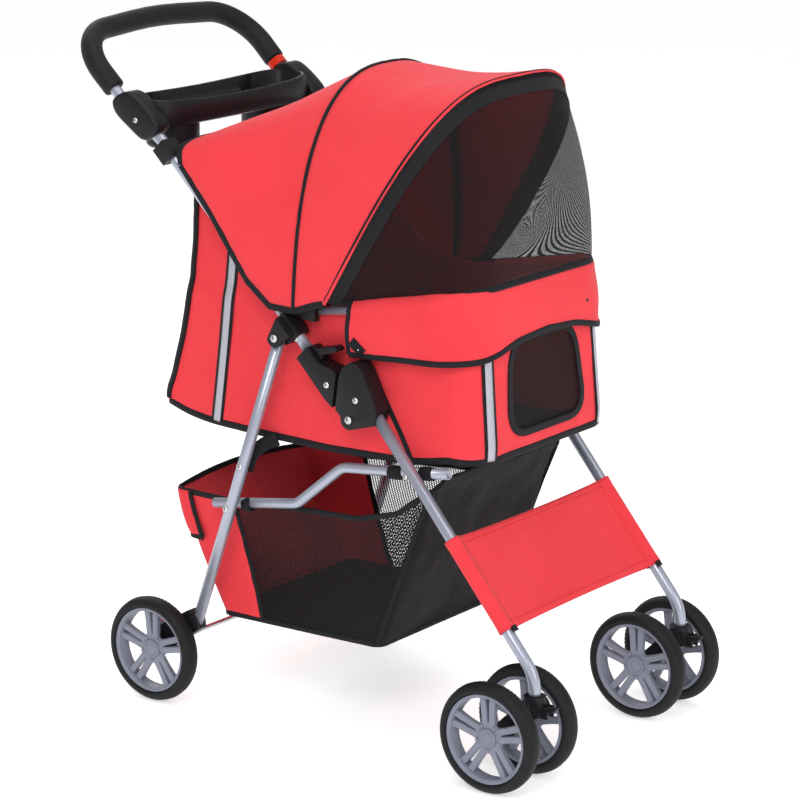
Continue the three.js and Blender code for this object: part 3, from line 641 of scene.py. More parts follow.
def linkCorners(sign):
    rearY = sign * (tubes["rearHalf"] - tubes["radius"] - tubes["linkRadius"] - 1)
    frontY = sign * (tubes["frontHalf"] - tubes["radius"] - tubes["linkRadius"] - 1.5)
    k, l = fold["linkRear"], fold["linkFront"]
    return [(k[0] - 38, rearY, k[1] - 3), (k[0] + 105, rearY - 2 * sign, k[1] + 20, 26),
            (l[0] - 121, frontY + sign, l[1] - 12, 30), (l[0] - 47, frontY, l[1] - 4.5, 40),
            (l[0] + 53, frontY, l[1] + 7)]


for label, sign in sides:
    y = sign * tubes["frontHalf"]
    tubePiece("frontLeg_" + label, [corner(legStart, y), corner(legKnee, y, 60), (wheelbase, y, 128.6)],
              tubes["radius"], silverPaint, "front_frame", ["front_leg_" + label])
    y = sign * tubes["rearHalf"]
    tubePiece("rearLeg_" + label, [corner(legTop, y), corner(legFoot, y)], tubes["radius"], silverPaint,
              "rear_frame", ["rear_leg_" + label])
    tubePiece("linkBar_" + label, linkCorners(sign), tubes["linkRadius"], silverPaint, "link_bars",
              ["link_bar_" + label], bore=1.4)
    cx, y = wheelbase - trail, sign * tubes["frontHalf"]
    tubePiece("casterAxle_" + label, [(cx, y - 46.3, 75), (cx, y + 46.3, 75)], 4, steel, "caster_" + label,
              ["caster_axle_" + label], 20)
tubePiece("rearAxle", [(0, -212.4, 75), (0, 212.4, 75)], 4, steel, "rear_frame",
          ["rear_axle"], 20)
tubePiece("cabinRail", [corner(railLine["rear"], -railLine["half"]),
                        corner(railAt(railLine["frontX"]), -railLine["half"], railLine["corner"]),
                        corner(railAt(railLine["frontX"]), railLine["half"], railLine["corner"]),
                        corner(railLine["rear"], railLine["half"])], tubes["railRadius"], silverPaint,
          "upper_frame", ["rail"])
print("tubes made")


# wheels

wheelLook = dict(radius=75, tyreWidth=28, rimRadius=60.4, rimWidth=22.6, wall=5, hub=14, spokes=5, treadRows=72,
                 spokeGap=2.2, spokeWidth=8.8, boltCircle=17.6)


# corners of a small block, given as -1 and +1 along its three directions in turn
blockFaces = ((0, 1, 3, 2), (4, 6, 7, 5), (0, 4, 5, 1), (2, 3, 7, 6), (0, 2, 6, 4), (1, 5, 7, 3))


def joined(name, objs):
    # one mesh from several, materials kept
    bm = bmesh.new()
    mats = []
    for obj in objs:
        index = {}
        for slotNumber, mat in enumerate(obj.data.materials):
            if mat not in mats:
                mats.append(mat)
            index[slotNumber] = mats.index(mat)
        start = len(bm.faces)
        bm.from_mesh(obj.data)
        bm.faces.ensure_lookup_table()
        for face in bm.faces[start:]:
            face.material_index = index.get(face.material_index, 0)
    mesh = bpy.data.meshes.new(name)
    bm.to_mesh(mesh)
    bm.free()
    for mat in mats:
        mesh.materials.append(mat)
    for obj in objs:
        bpy.data.objects.remove(obj)
    return mesh


def blockPiece(name, loops, mat):
    # closed body through equal loops of points, ends capped
    size = len(loops[0])
    verts = [v for loop in loops for v in loop]
    faces = []
    for i in range(len(loops) - 1):
        for k in range(size):
            m = (k + 1) % size
            faces.append((i * size + k, i * size + m, (i + 1) * size + m, (i + 1) * size + k))
    faces.append(tuple(reversed(range(size))))
    faces.append(tuple(range(len(verts) - size, len(verts))))
    return cleanMesh(meshPiece(name, verts, faces, mat))


def makeTyreMesh():
    w, r, inner = wheelLook["tyreWidth"] / 2, wheelLook["radius"], wheelLook["rimRadius"] + 0.3
    profile = []
    arcSteps = 14
    crown = 11
    for k in range(arcSteps + 1):
        a = math.radians(-90 + 180 * k / arcSteps)
        profile.append((r - crown + crown * math.cos(a), w * math.sin(a)))
    profile = [(inner, -w + 3.2), (inner + 1.6, -w + 0.6)] + profile + [(inner + 1.6, w - 0.6),
                                                                        (inner, w - 3.2),
                                                                       (inner, -w + 3.2)]
    rows = wheelLook["treadRows"] * 4
    verts, faces = [], []
    count = len(profile)
    for i in range(rows):
        a = 2 * math.pi * i / rows
        for rr, h in profile:
            slant = (i + round(abs(h) * 0.4)) % 4
            groove = 0.9 if slant == 0 and rr > r - 5.5 and abs(h) > 2 else 0
            rib = 0.7 if abs(abs(h) - 3.1) < 1.1 and rr > r - 4 else 0
            rr2 = rr - max(groove, rib)
            verts.append(Vector((rr2 * mm * math.cos(a), h * mm, rr2 * mm * math.sin(a))))
    for i in range(rows):
        j = (i + 1) % rows
        for k in range(count - 1):
            faces.append((i * count + k, j * count + k, j * count + k + 1, i * count + k + 1))
    tyre = cleanMesh(meshPiece("tyreShape", verts, faces, rubber), 1e-6)
    smoothByAngle(tyre, 50)
    return joined("tyreShape", [tyre])


def makeRimMesh():
    # outside face towards +Y
    w, r = wheelLook["rimWidth"] / 2, wheelLook["rimRadius"]
    inner = r - wheelLook["wall"]
    ring = lathePiece("ring", [(inner, -w + 1), (inner + 1, -w), (r - 0.5, -w), (r, -w + 0.5), (r, w - 0.5),
                               (r - 0.5, w), (r - 2.2, w), (r - 3, w - 1.2), (inner + 0.6, w - 1.8),
                               (inner, w - 2.6), (inner, -w + 1)], rimPlastic, 96)
    hub = lathePiece("hub", [(4.7, -12), (12.6, -12), (14, -10.6), (14, 4.6), (13, 6.4), (11.2, 7), (10.6, 6.2),
                             (9.6, 5.4), (4.7, 5), (4.7, -12)], rimPlastic, 64)
    cap = lathePiece("cap", [(0, 6.2), (4, 6.1), (8, 5.6), (9.4, 4.8), (9.4, 3), (0, 3)], rimPlastic, 48)
    plate = lathePiece("plate", [(13, -3), (20, -2.4), (21.6, -1), (21.6, 1.6), (20.4, 3), (13, 3.8), (13, -3)],
                       rimPlastic, 80)
    parts = [ring, hub, cap, plate]
    for k in range(wheelLook["spokes"]):
        turn = 2 * math.pi * (k + 0.25) / wheelLook["spokes"]
        for way in (-1, 1):
            loops = []
            for f in range(7):
                s = f / 6
                radius = 15 + (inner + 1.5 - 15) * s
                middle = way * (wheelLook["spokeGap"] / 2 + 4.4 + 2.6 * s * s)
                wide = wheelLook["spokeWidth"] / 2 + 0.7 * (2 * s - 1) ** 2
                top = 3.4 + 2.6 * s
                low = -3.2 - 1.0 * s
                ring8 = [(-wide, low + 0.8), (-wide + 0.8, low), (wide - 0.8, low), (wide, low + 0.8),
                         (wide, top - 1.2), (wide - 1.2, top), (-wide + 1.2, top), (-wide, top - 1.2)]
                loops.append([Vector((radius * mm, h * mm, (middle + a) * mm)) for a, h in ring8])
            spoke = blockPiece("spoke", loops, rimPlastic)
            spoke.data.transform(Matrix.Rotation(-turn, 4, "Y"))
            parts.append(spoke)
        bolt = lathePiece("bolt", [(0, 5.6), (2.1, 5.4), (2.9, 4.7), (2.9, 2.4), (0, 2.4)], rimPlastic, 12)
        boltTurn = turn + math.pi / wheelLook["spokes"]
        bolt.data.transform(Matrix.Translation((wheelLook["boltCircle"] * mm * math.cos(boltTurn), 0,
                                                wheelLook["boltCircle"] * mm * math.sin(boltTurn))))
        parts.append(bolt)
    for part in parts:
        smoothByAngle(part, 38)
    return joined("rimShape", parts)


tyreMesh = makeTyreMesh()
rimMesh = makeRimMesh()


def placeWheel(node, x, y, way, body):
    for mesh, part, slotName in ((rimMesh, "rim", "wheel_rim"), (tyreMesh, "tyre", "tyre")):
        obj = bpy.data.objects.new(node + "_" + part + "_finish", mesh)
        scene.collection.objects.link(obj)
        obj.matrix_world = Matrix.Translation(pt(x, y, wheelLook["radius"])) @ Matrix.Rotation(
            0 if way > 0 else math.pi, 4, "Z")
        addPiece(obj, body, [node + "_" + part])


for label, sign in sides:
    placeWheel("rear_wheel_" + label, 0, sign * tracks["rear"], sign, "rear_wheel_" + label)
    for name, way in (("outer", sign), ("inner", -sign)):
        node = "caster_" + label + "_" + name
        placeWheel(node, wheelbase - trail, sign * tracks["front"] + way * tracks["twin"], way, node + "_wheel")
print("wheels made")


# moulded plastics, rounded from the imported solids

mouldings = dict(cup_holder_left=("upper_frame", 0.8), cup_holder_right=("upper_frame", 0.8))
for label, sign in sides:
    mouldings["tube_clip_" + label] = ("upper_frame", 1.6)
    mouldings["leg_bracket_" + label] = ("upper_frame", 1.4)
    mouldings["lock_upper_" + label] = ("upper_frame", 1.6)
    mouldings["canopy_hinge_" + label] = ("upper_frame", 1.2)
    mouldings["lock_lower_" + label] = ("front_frame", 1.8)
    mouldings["rear_foot_" + label] = ("rear_frame", 1.6)
    mouldings["fold_latch_" + label] = ("fold_latch_" + label, 1.2)
    mouldings["caster_fork_" + label] = ("caster_" + label, 1.8)
    mouldings["swivel_lock_" + label] = ("swivel_lock_" + label, 1.0)
for node, (body, bevel) in mouldings.items():
    refined(node, blackPlastic, body, bevel)
for label, sign in sides:
    refined("brake_pedal_" + label, redPlastic, "brake_pedal_" + label, 1.6)
    for pin in ("fold_pin_", "rear_leg_pin_"):
        refined(pin + label, steel, "upper_frame", 0.5)
print("mouldings rounded")


# tray: a long dish with a raised lip, held by two rounded arms

tray = dict(middle=-40, halfDepth=46, halfWidth=166, floor=800, cupAt=103, cupRadius=37.3, arm=31, lipRise=6)
dishLevels = [(34, 800.6), (9, 801), (3.5, 803.5), (0.8, 810), (0, 820), (0.4, 828), (1.8, 832.6), (4.4, 834.8),
              (7.2, 834.4), (9.2, 831.4), (11, 824), (13.4, 819.8), (17, 818.4), (34, 818.2)]


def softOutline(points, times=3):
    # corners cut again and again until the outline is round
    for _ in range(times):
        cut = []
        for a, b in zip(points, points[1:] + points[:1]):
            cut.append((a[0] * 0.78 + b[0] * 0.22, a[1] * 0.78 + b[1] * 0.22))
            cut.append((a[0] * 0.22 + b[0] * 0.78, a[1] * 0.22 + b[1] * 0.78))
        points = cut
    return points


def pebble(name, outline, low, high, mat, soft=4.0):
    # side-view outline carried across the object, its two ends rounded
    outline = softOutline(outline)
    cx = sum(p[0] for p in outline) / len(outline)
    cz = sum(p[1] for p in outline) / len(outline)
    loops = []
    for y, inset in ((low, 1.0), (low + soft * 0.12, 0.62), (low + soft * 0.4, 0.24), (low + soft, 0),
                     (high - soft, 0), (high - soft * 0.4, 0.24), (high - soft * 0.12, 0.62), (high, 1.0)):
        loop = []
        for x, z in outline:
            reach = math.hypot(x - cx, z - cz)
            shrink = 1 - inset * soft / max(reach, soft * 1.5)
            loop.append(pt(cx + (x - cx) * shrink, y, cz + (z - cz) * shrink))
        loops.append(loop)
    return blockPiece(name, loops, mat)


def dishShape():
    loops = []
    for inset, z in dishLevels:
        a, b = tray["halfDepth"] - inset, tray["halfWidth"] - inset
        loop = []
        for k in range(96):
            turn = 2 * math.pi * k / 96
            c, d = math.cos(turn), math.sin(turn)
            x = math.copysign(abs(c) ** 0.5, c) * a
            y = math.copysign(abs(d) ** 0.5, d) * b
            lift = tray["lipRise"] * (abs(y) / tray["halfWidth"]) ** 2 if z > 829 else 0
            loop.append(pt(tray["middle"] + x, y, z + lift - x * 0.03 * (1 if z > 815 else 0)))
        loops.append(loop)
    return blockPiece("trayDish", loops, blackPlastic)


dish = dishShape()
for label, sign in sides:
    bpy.ops.mesh.primitive_cylinder_add(vertices=64, radius=tray["cupRadius"] * mm, depth=0.12,
                                        location=pt(tray["middle"], sign * tray["cupAt"], tray["floor"]))
    drill = bpy.context.object
    hole = dish.modifiers.new("cup", "BOOLEAN")
    hole.operation = "DIFFERENCE"
    hole.solver = "EXACT"
    hole.object = drill
    applyModifiers(dish)
    bpy.data.objects.remove(drill)
smoothByAngle(dish, 40)
addPiece(dish, "upper_frame", ["tray"])
bend = handle["trayBend"]
armOutline = [byHandle(bend + up, out) for up, out in
              ((14, -17), (8, 8), (18, 21), (52, 19), (80, 12), (89, -2), (93, -22), (76, -31), (31, -23))]
for label, sign in sides:
    low, high = sorted(sign * (tubes["handleHalf"] + way * tray["arm"] / 2) for way in (-1, 1))
    arm = pebble("trayArm_" + label, armOutline, low, high, blackPlastic, 6)
    smoothByAngle(arm, 60)
    addPiece(arm, "upper_frame")
print("tray made")


# fabric helpers


def pathLength(points):
    return sum((b - a).length for a, b in zip(points, points[1:]))


def smoothStep(f):
    f = min(max(f, 0), 1)
    return f * f * (3 - 2 * f)


def along(keys, f):
    # value along a list of (station, value...) keys, values linear between them
    for a, b in zip(keys, keys[1:]):
        if f <= b[0]:
            s = 0 if b[0] == a[0] else max(0.0, (f - a[0]) / (b[0] - a[0]))
            return [p + (q - p) * s for p, q in zip(a[1:], b[1:])]
    return list(keys[-1][1:])


def eased(keys, f):
    # the same with rounded corners: a short average either side
    reach = 0.03 * (keys[-1][0] - keys[0][0])
    samples = [along(keys, f + reach * k / 3) for k in range(-3, 4)]
    return [sum(col) / len(col) for col in zip(*samples)]


def gridFaces(rows, cols, loop=False):
    faces = []
    for i in range(rows - 1):
        for k in range(cols if loop else cols - 1):
            m = (k + 1) % cols
            faces.append((i * cols + k, i * cols + m, (i + 1) * cols + m, (i + 1) * cols + k))
    return faces


def clothGrid(name, rows, mat, thickness=1.2, keep=None):
    # rows of equal length become a sheet; keep(i, k) false leaves a face out
    cols = len(rows[0])
    verts = [p for row in rows for p in row]
    uvs = []
    down = [0.0] * cols
    for i, row in enumerate(rows):
        run = 0.0
        for k in range(cols):
            if k:
                run += (row[k] - row[k - 1]).length
            if i:
                down[k] += (row[k] - rows[i - 1][k]).length
            uvs.append((run, down[k]))
    faces = []
    for index, face in enumerate(gridFaces(len(rows), cols)):
        i, k = divmod(index, cols - 1)
        if keep is None or keep(i, k):
            faces.append(face)
    obj = meshPiece(name, verts, faces, mat, uvs)
    bm = bmesh.new()
    bm.from_mesh(obj.data)
    loose = [v for v in bm.verts if not v.link_faces]
    bmesh.ops.delete(bm, geom=loose, context="VERTS")
    bm.to_mesh(obj.data)
    bm.free()
    if thickness:
        thicken(obj, thickness, 0)
    return obj


def ruffle(point, scale, size, seed=0.0):
    # a smooth seeded push, in metres
    return noise.noise(point * scale + Vector((seed, seed * 1.7, -seed))) * size * mm


def ruffled(rows, size, scale=11.0, seed=1.0, hold=2):
    # pushes the inside of a grid along its own normals, edges stay where they are
    out = [list(row) for row in rows]
    last, end = len(rows) - 1, len(rows[0]) - 1
    for i in range(1, last):
        for k in range(1, end):
            normal = (rows[i + 1][k] - rows[i - 1][k]).cross(rows[i][k + 1] - rows[i][k - 1])
            if normal.length < 1e-12:
                continue
            calm = min(1, i / hold, (last - i) / hold, k / hold, (end - k) / hold)
            p = rows[i][k]
            push = ruffle(p, scale, size, seed) + ruffle(p, scale * 2.7, size * 0.4, seed + 5)
            out[i][k] = p + normal.normalized() * push * calm
    return out


def surfaceOf(rows):
    verts = [p for row in rows for p in row]
    return BVHTree.FromPolygons(verts, gridFaces(len(rows), len(rows[0])))


def laidStrip(name, points, width, bvh, lift, mat, thickness=0.8, away=(0, 0, 1)):
    # a flat tape that follows points over a surface; away points to the outside
    near = [bvh.find_nearest(p) for p in points]
    facing = Vector(away)
    rows = []
    across = 5
    for i, (spot, normal, face, gap) in enumerate(near):
        before = near[max(i - 1, 0)][0]
        after = near[min(i + 1, len(near) - 1)][0]
        run = (after - before).normalized()
        if normal.dot(facing) < 0:
            normal = -normal
        sideways = run.cross(normal).normalized()
        row = []
        for k in range(across):
            offset = (k / (across - 1) - 0.5) * width * mm
            onto, n2, f2, d2 = bvh.find_nearest(spot + sideways * offset)
            if n2.dot(facing) < 0:
                n2 = -n2
            row.append(onto + n2 * lift * mm)
        rows.append(row)
    return clothGrid(name, rows, mat, thickness)


def edgeBinding(name, points, normals, width, thick, mat):
    # folded tape over an edge: a soft oval that follows the edge
    loop = []
    for k in range(12):
        a = 2 * math.pi * k / 12
        loop.append((math.copysign(abs(math.cos(a)) ** 0.7, math.cos(a)) * width * mm / 2,
                     math.copysign(abs(math.sin(a)) ** 0.9, math.sin(a)) * thick * mm / 2))
    puckered = [p + n.normalized() * ruffle(p, 60, 0.5, 3) for p, n in zip(points, normals)]
    return sweep(name, puckered, loop, mat, up=normals)


def smoothLine(points, steps):
    # even points along a soft curve through the given ones
    pts = [points[0] * 2 - points[1]] + list(points) + [points[-1] * 2 - points[-2]]
    dense = []
    for a, b, c, d in zip(pts, pts[1:], pts[2:], pts[3:]):
        for k in range(10):
            t = k / 10
            dense.append(0.5 * ((2 * b) + (c - a) * t + (2 * a - 5 * b + 4 * c - d) * t * t
                                + (3 * b - a - 3 * c + d) * t ** 3))
    dense.append(points[-1])
    return evenLine(dense, steps)


def evenLine(points, steps):
    total = pathLength(points)
    out, run, i = [points[0]], 0.0, 0
    for k in range(1, steps):
        target = total * k / steps
        while run + (points[i + 1] - points[i]).length < target:
            run += (points[i + 1] - points[i]).length
            i += 1
        f = (target - run) / (points[i + 1] - points[i]).length
        out.append(points[i].lerp(points[i + 1], f))
    out.append(points[-1])
    return out


# canopy

canopy = dict(half=187, sag=9, rearSag=5, overhang=5, piping=5.6, columns=96, rearRows=22, frontRows=20)
# lower edge of each side, then the crown of the arch above it, and how square the arch is
canopyKeys = [
    (0.00, 45, 761, 40, 794, 5.0),
    (0.25, 98, 698, 93, 822, 4.1),
    (0.55, 157, 617, 156, 852, 3.3),
    (0.78, 196, 587, 206, 877, 2.8),
    (1.00, 236, 586, 252, 896, 2.6),
    (1.50, 260, 594, 358, 897, 3.0),
    (2.00, 284, 602, 463, 899, 3.4),
]


def canopyPoint(turn, v, lift=0.0):
    fx, fz, tx, tz, square = along(canopyKeys, min(v, 2))
    reach = math.hypot(tx - fx, tz - fz)
    angle = math.pi * turn
    power = 2 / square
    across = -math.copysign(abs(math.cos(angle)) ** power, math.cos(angle)) * (canopy["half"] + lift)
    rise = math.sin(angle) ** power * (1 + lift / reach)
    over = math.sin(angle) ** 0.8
    if v < 1:
        dip = canopy["rearSag"] * math.sin(math.pi * v) * over
    else:
        dip = canopy["sag"] * math.sin(math.pi * min(v - 1, 1)) * over
    x = fx + rise * (tx - fx)
    z = fz + rise * (tz - fz) - dip
    if v > 2:
        push = (v - 2) * 100
        x += push * 0.83
        z -= push * 0.2
    return pt(x, across, z)


def canopyRows(low, high, count, lift=0.0):
    turns = []
    for k in range(canopy["columns"] + 1):
        f = k / canopy["columns"]
        turns.append(f - 0.11 * math.sin(2 * math.pi * f) / 2)
    return [[canopyPoint(min(max(t, 0), 1), low + (high - low) * i / count, lift) for t in turns]
            for i in range(count + 1)]


rearRows = canopyRows(0, 1, canopy["rearRows"])
frontRows = canopyRows(1, 2 + canopy["overhang"] / 100, canopy["frontRows"])
rearCloth = clothGrid("canopyRear", ruffled(rearRows, 2.0, 9, 2), redFabric, 1.2)
frontCloth = clothGrid("canopyFront", ruffled(frontRows, 1.6, 9, 4), redFabric, 1.2)
canopySurface = surfaceOf(canopyRows(0, 2, 44))


def outwardAt(bvh, centre, p):
    # the surface's normal nearest to p, turned away from a point inside
    normal = bvh.find_nearest(p)[1]
    return normal if normal.dot(p - centre) >= 0 else -normal


def canopyNormals(points):
    return [outwardAt(canopySurface, pt(220, 0, 640), p) for p in points]


def archLine(v, steps=80, lift=0.0, low=0.0, high=1.0):
    raw = [canopyPoint(low + (high - low) * k / 240, v, lift) for k in range(241)]
    return evenLine(raw, steps)


midLine = archLine(1, 110, 0.9)
midPiping = edgeBinding("canopyPiping", midLine, canopyNormals(midLine), canopy["piping"], 3.6, binding)
rearLine = archLine(0, 70, 0.5)
rearHem = edgeBinding("canopyRearHem", rearLine, canopyNormals(rearLine), 9, 2.4, binding)
sideHems = {"rear": [], "front": []}
for label, sign in sides:
    edge = 1 if sign > 0 else 0
    for part, low, high in (("rear", 0, 1), ("front", 1, 2.02)):
        points = evenLine([canopyPoint(edge, low + (high - low) * k / 60) for k in range(61)],
                          34 if low == 0 else 9)
        outside = [Vector((0, sign, 0)) for p in points]
        hem = edgeBinding("canopyHem_" + part + "_" + label, points, outside, 10, 2.6, binding)
        sideHems[part].append(hem)
frontHemLine = archLine(2 + canopy["overhang"] / 100, 110)
frontHem = edgeBinding("canopyFrontHem", frontHemLine, canopyNormals(frontHemLine), 3.4, 2.4, redFabric)

rearPieces = [rearCloth, midPiping, rearHem] + sideHems["rear"]
frontPieces = [frontCloth, frontHem] + sideHems["front"]
print("canopy made")


# bows under the canopy

bows = dict(radius=3.5, sleeve=5.2, inset=7.9, sleeveInset=6.2)

for node, body, v in (("mid_bow", "mid_bow", 1), ("front_bow", "front_bow", 2)):
    bow = sweep(node + "Rod", archLine(v, 70, -bows["inset"]), ringSection(bows["radius"], 14), blackPlastic)
    addPiece(bow, body, [node])
    sleeve = sweep(node + "Sleeve", archLine(v, 70, -bows["sleeveInset"], 0.03, 0.97),
                   ringSection(bows["sleeve"], 16), blackFabric)
    addPiece(sleeve, body)


# mesh window

window = dict(bulge=20, rows=26, columns=90, zip=17, border=9)
rimCurve = [(286, -170, 600), (316, -163, 603, 30), (506, -161, 637, 62), (506, 161, 637, 62),
            (316, 163, 603, 30),
            (286, 170, 600)]
rimLine = evenLine(bentPath(rimCurve, 5), 180)


hoopLine = evenLine([canopyPoint(k / 400, 2, -0.5) for k in range(401)], 180)


def spotOn(line, turn):
    f = min(max(turn, 0), 1) * (len(line) - 1)
    i = min(int(f), len(line) - 2)
    return line[i].lerp(line[i + 1], f - i)


def windowSpan(turn):
    # millimetres from the hoop down to the rim
    return max((spotOn(hoopLine, turn) - spotOn(rimLine, turn)).length / mm, 1)


def windowPoint(turn, down):
    p = spotOn(hoopLine, turn).lerp(spotOn(rimLine, turn), down)
    puff = window["bulge"] * mm * max(0, math.sin(math.pi * down)) ** 0.9 * max(0,
                                                                                math.sin(math.pi * turn)) ** 1.3
    return p + Vector((puff, 0, puff * 0.18))


windowRows = [[windowPoint(k / window["columns"], i / window["rows"]) for k in range(window["columns"] + 1)]
              for i in range(window["rows"] + 1)]
windowSurface = surfaceOf(windowRows)
net = clothGrid("meshWindow", windowRows, windowNet, 0)


def windowNormal(p):
    return outwardAt(windowSurface, pt(250, 0, 640), p)


def bandRows(start, width, lift, low, high, turns=150, across=6):
    # a band on the window that follows the hoop, start and width in millimetres down from it
    rows = []
    for k in range(turns + 1):
        turn = low + (high - low) * k / turns
        row = []
        for j in range(across + 1):
            p = windowPoint(turn, min((start + width * j / across) / windowSpan(turn), 0.98))
            row.append(p + windowNormal(p) * lift * mm)
        rows.append(row)
    return rows


zipBand = clothGrid("zipTape", bandRows(-1.0, window["zip"], 1.3, 0.006, 0.994), zipTape, 1.4)
netBorder = clothGrid("meshWindowBorder", bandRows(window["zip"] - 3, window["border"] + 3, 1.0, 0.01, 0.99),
                      binding, 1.6)


def makeZipTeeth():
    # two rows of small teeth down the middle of the tape
    verts, faces = [], []
    count = 300
    for k in range(count):
        turn = 0.02 + 0.96 * k / count
        for way in (-1, 1):
            shift = 0.4 * way
            middle = windowPoint(turn + shift / 1100, (6.6 + 1.05 * way) / windowSpan(turn))
            ahead = (windowPoint(turn + 0.002, 0.02) - windowPoint(turn - 0.002, 0.02)).normalized()
            normal = windowNormal(middle)
            sideways = ahead.cross(normal).normalized()
            base = len(verts)
            centre = middle + normal * 2.3 * mm
            for a in (-1, 1):
                for b in (-1, 1):
                    for c in (-1, 1):
                        verts.append(centre + ahead * a * 0.62 * mm + sideways * b * 1.15 * mm
                                     + normal * c * 0.7 * mm)
            faces += [tuple(base + i for i in f) for f in blockFaces]
    return cleanMesh(meshPiece("zipTeeth", verts, faces, blackPlastic, smooth=False))


zipTeeth = makeZipTeeth()
rimNormals = [Vector((p.x - pt(300, 0, 0).x, p.y * 1.6, 0.12)) for p in rimLine]
rimTop = [p + Vector((0, 0, 0.5 * mm)) for p in rimLine]
rimBinding = edgeBinding("rimBinding", rimTop, rimNormals, 9.5, 3.2, binding)
print("mesh window made")


# cabin

cabin = dict(half=157, corner=46, bottomBulge=5, strip=13, stripEdge=3, rearRows=30)
rearKeys = [(405, 8), (412, -4), (421, -11), (432, -10), (455, 0), (520, 19), (590, 33), (654, 41), (700, 43),
            (765, 46)]
frontKeys = [(400, 512), (411, 516), (430, 517.5), (500, 511), (560, 506), (585, 497), (600, 489), (640, 488)]
bottomKeys = [(-11, 419), (15, 407), (60, 400), (170, 397), (300, 395), (440, 399), (480, 403), (517, 411)]
topKeys = [(43, 758), (98, 722), (157, 652), (200, 618), (240, 604), (317, 602), (508, 614)]


def shellPoint(share, h):
    # share runs 0 at the rear wall to 1 at the front wall; h from the bottom edge to the top edge
    rough = -10 + 526 * share
    zb = eased(bottomKeys, rough)[0]
    zt = eased(topKeys, max(rough, 43))[0]
    z = zb + (zt - zb) * h
    xr = eased(rearKeys, z)[0]
    xf = eased(frontKeys, z)[0]
    return xr, xf, z


def cabinColumn(f):
    # f from 0 (rear, middle) round the right side to 1 (front, middle): (share of the length, corner turn, y)
    half, r = cabin["half"], cabin["corner"]
    if f < 0.2:
        return 0.0, 0.0, -half * f / 0.2
    if f < 0.68:
        return (f - 0.2) / 0.48, 0.0, -half
    if f < 0.8:
        a = math.pi / 2 * (f - 0.68) / 0.12
        return 1.0, a, -half + r * (1 - math.cos(a))
    return 1.0, math.pi / 2, -(half - r) * (1 - (f - 0.8) / 0.2)


def cabinPoint(g, h):
    # g from 0 (rear middle) round to 1 (rear middle again) past the right side, front and left side
    mirror = 1 if g <= 0.5 else -1
    f = g * 2 if g <= 0.5 else (1 - g) * 2
    share, turn, y = cabinColumn(f)
    r = cabin["corner"]
    xr, xf, z = shellPoint(share, h)
    if f < 0.2:
        x = xr - 6 * math.sin(math.pi * h) * (1 - (y / cabin["half"]) ** 2)
    elif f < 0.68:
        x = xr + (xf - r - xr) * share
        belly = math.sin(math.pi * min(max(h, 0), 1)) * math.sin(math.pi * share)
        y -= -2.5 * belly
    elif f < 0.8:
        x = xf - r + r * math.sin(turn)
    else:
        x = xf
    # the upper edge leans in under the rail and the handle tubes
    if z > 575:
        inward = smoothStep((z - 575) / 30) * 3.5
        y += inward if y < 0 else 0
    return pt(x, y * mirror, z)


shellColumns = 300
shellRowCount = 56
shellRows = [[cabinPoint(k / shellColumns, i / shellRowCount) for k in range(shellColumns + 1)]
             for i in range(shellRowCount + 1)]
shellSurface = surfaceOf(shellRows)
hatch = dict(top=562, bottom=436, topHalf=74, bottomHalf=88, round=40)


def hatchOutline(grow=0.0, steps=160):
    # rounded window in the front wall, as (y, z)
    t, b = hatch["topHalf"] + grow, hatch["bottomHalf"] + grow
    corners = [(-b, hatch["bottom"] - grow, hatch["round"]), (b, hatch["bottom"] - grow, hatch["round"]),
               (t, hatch["top"] + grow, hatch["round"]), (-t, hatch["top"] + grow, hatch["round"])]
    out = []
    for i, (y, z, r) in enumerate(corners):
        before, after = Vector(corners[i - 1][:2]), Vector(corners[(i + 1) % 4][:2])
        here = Vector((y, z))
        back, ahead = (before - here).normalized(), (after - here).normalized()
        for k in range(13):
            s = k / 12
            p = (here + back * r) * (1 - s) ** 2 + here * 2 * s * (1 - s) + (here + ahead * r) * s * s
            out.append((p.x, p.y))
    loop = [Vector((514, y, z)) for y, z in out]
    loop.append(loop[0])
    return evenLine(loop, steps)


hatchLoop = [(p.y, p.z) for p in hatchOutline()]


def inHatch(y, z):
    inside = False
    for (y1, z1), (y2, z2) in zip(hatchLoop, hatchLoop[1:]):
        if (z1 > z) != (z2 > z) and y < (y2 - y1) * (z - z1) / (z2 - z1) + y1:
            inside = not inside
    return inside


def isNet(i, k):
    p = (shellRows[i][k] + shellRows[i + 1][k + 1]) / 2
    return xOf(p) > 480 and inHatch(p.y / mm, p.z / mm)


shellSoft = ruffled(shellRows, 2.2, 9, 7, 3)
shellSoft = [row[:-1] + [row[0]] for row in shellSoft]
cabinShell = clothGrid("cabinShell", shellSoft, redFabric, 1.4, keep=lambda i, k: not isNet(i, k))
cabinNet = clothGrid("cabinFrontNet", shellRows, windowNet, 0, keep=isNet)


def makeFloor():
    rows = []
    for i in range(41):
        share = i / 40
        rows.append([])
        for j in range(31):
            y = -cabin["half"] + 2 * cabin["half"] * j / 30
            x = -8 + 522 * share
            z = eased(bottomKeys, x)[0]
            if x > 516 - cabin["corner"]:
                limit = cabin["half"] - cabin["corner"] + math.sqrt(
                    max(0, cabin["corner"] ** 2 - (x - 516 + cabin["corner"]) ** 2))
                y = max(-limit, min(limit, y))
            rows[-1].append(pt(x, y, z + 1.2))
    return rows


floorRows = makeFloor()
cabinFloor = clothGrid("cabinFloor", floorRows, blackFabric, 1.6)


def awayFromCabin(p):
    return Vector((p.x - pt(250, 0, 0).x, p.y * 2.2, 0))


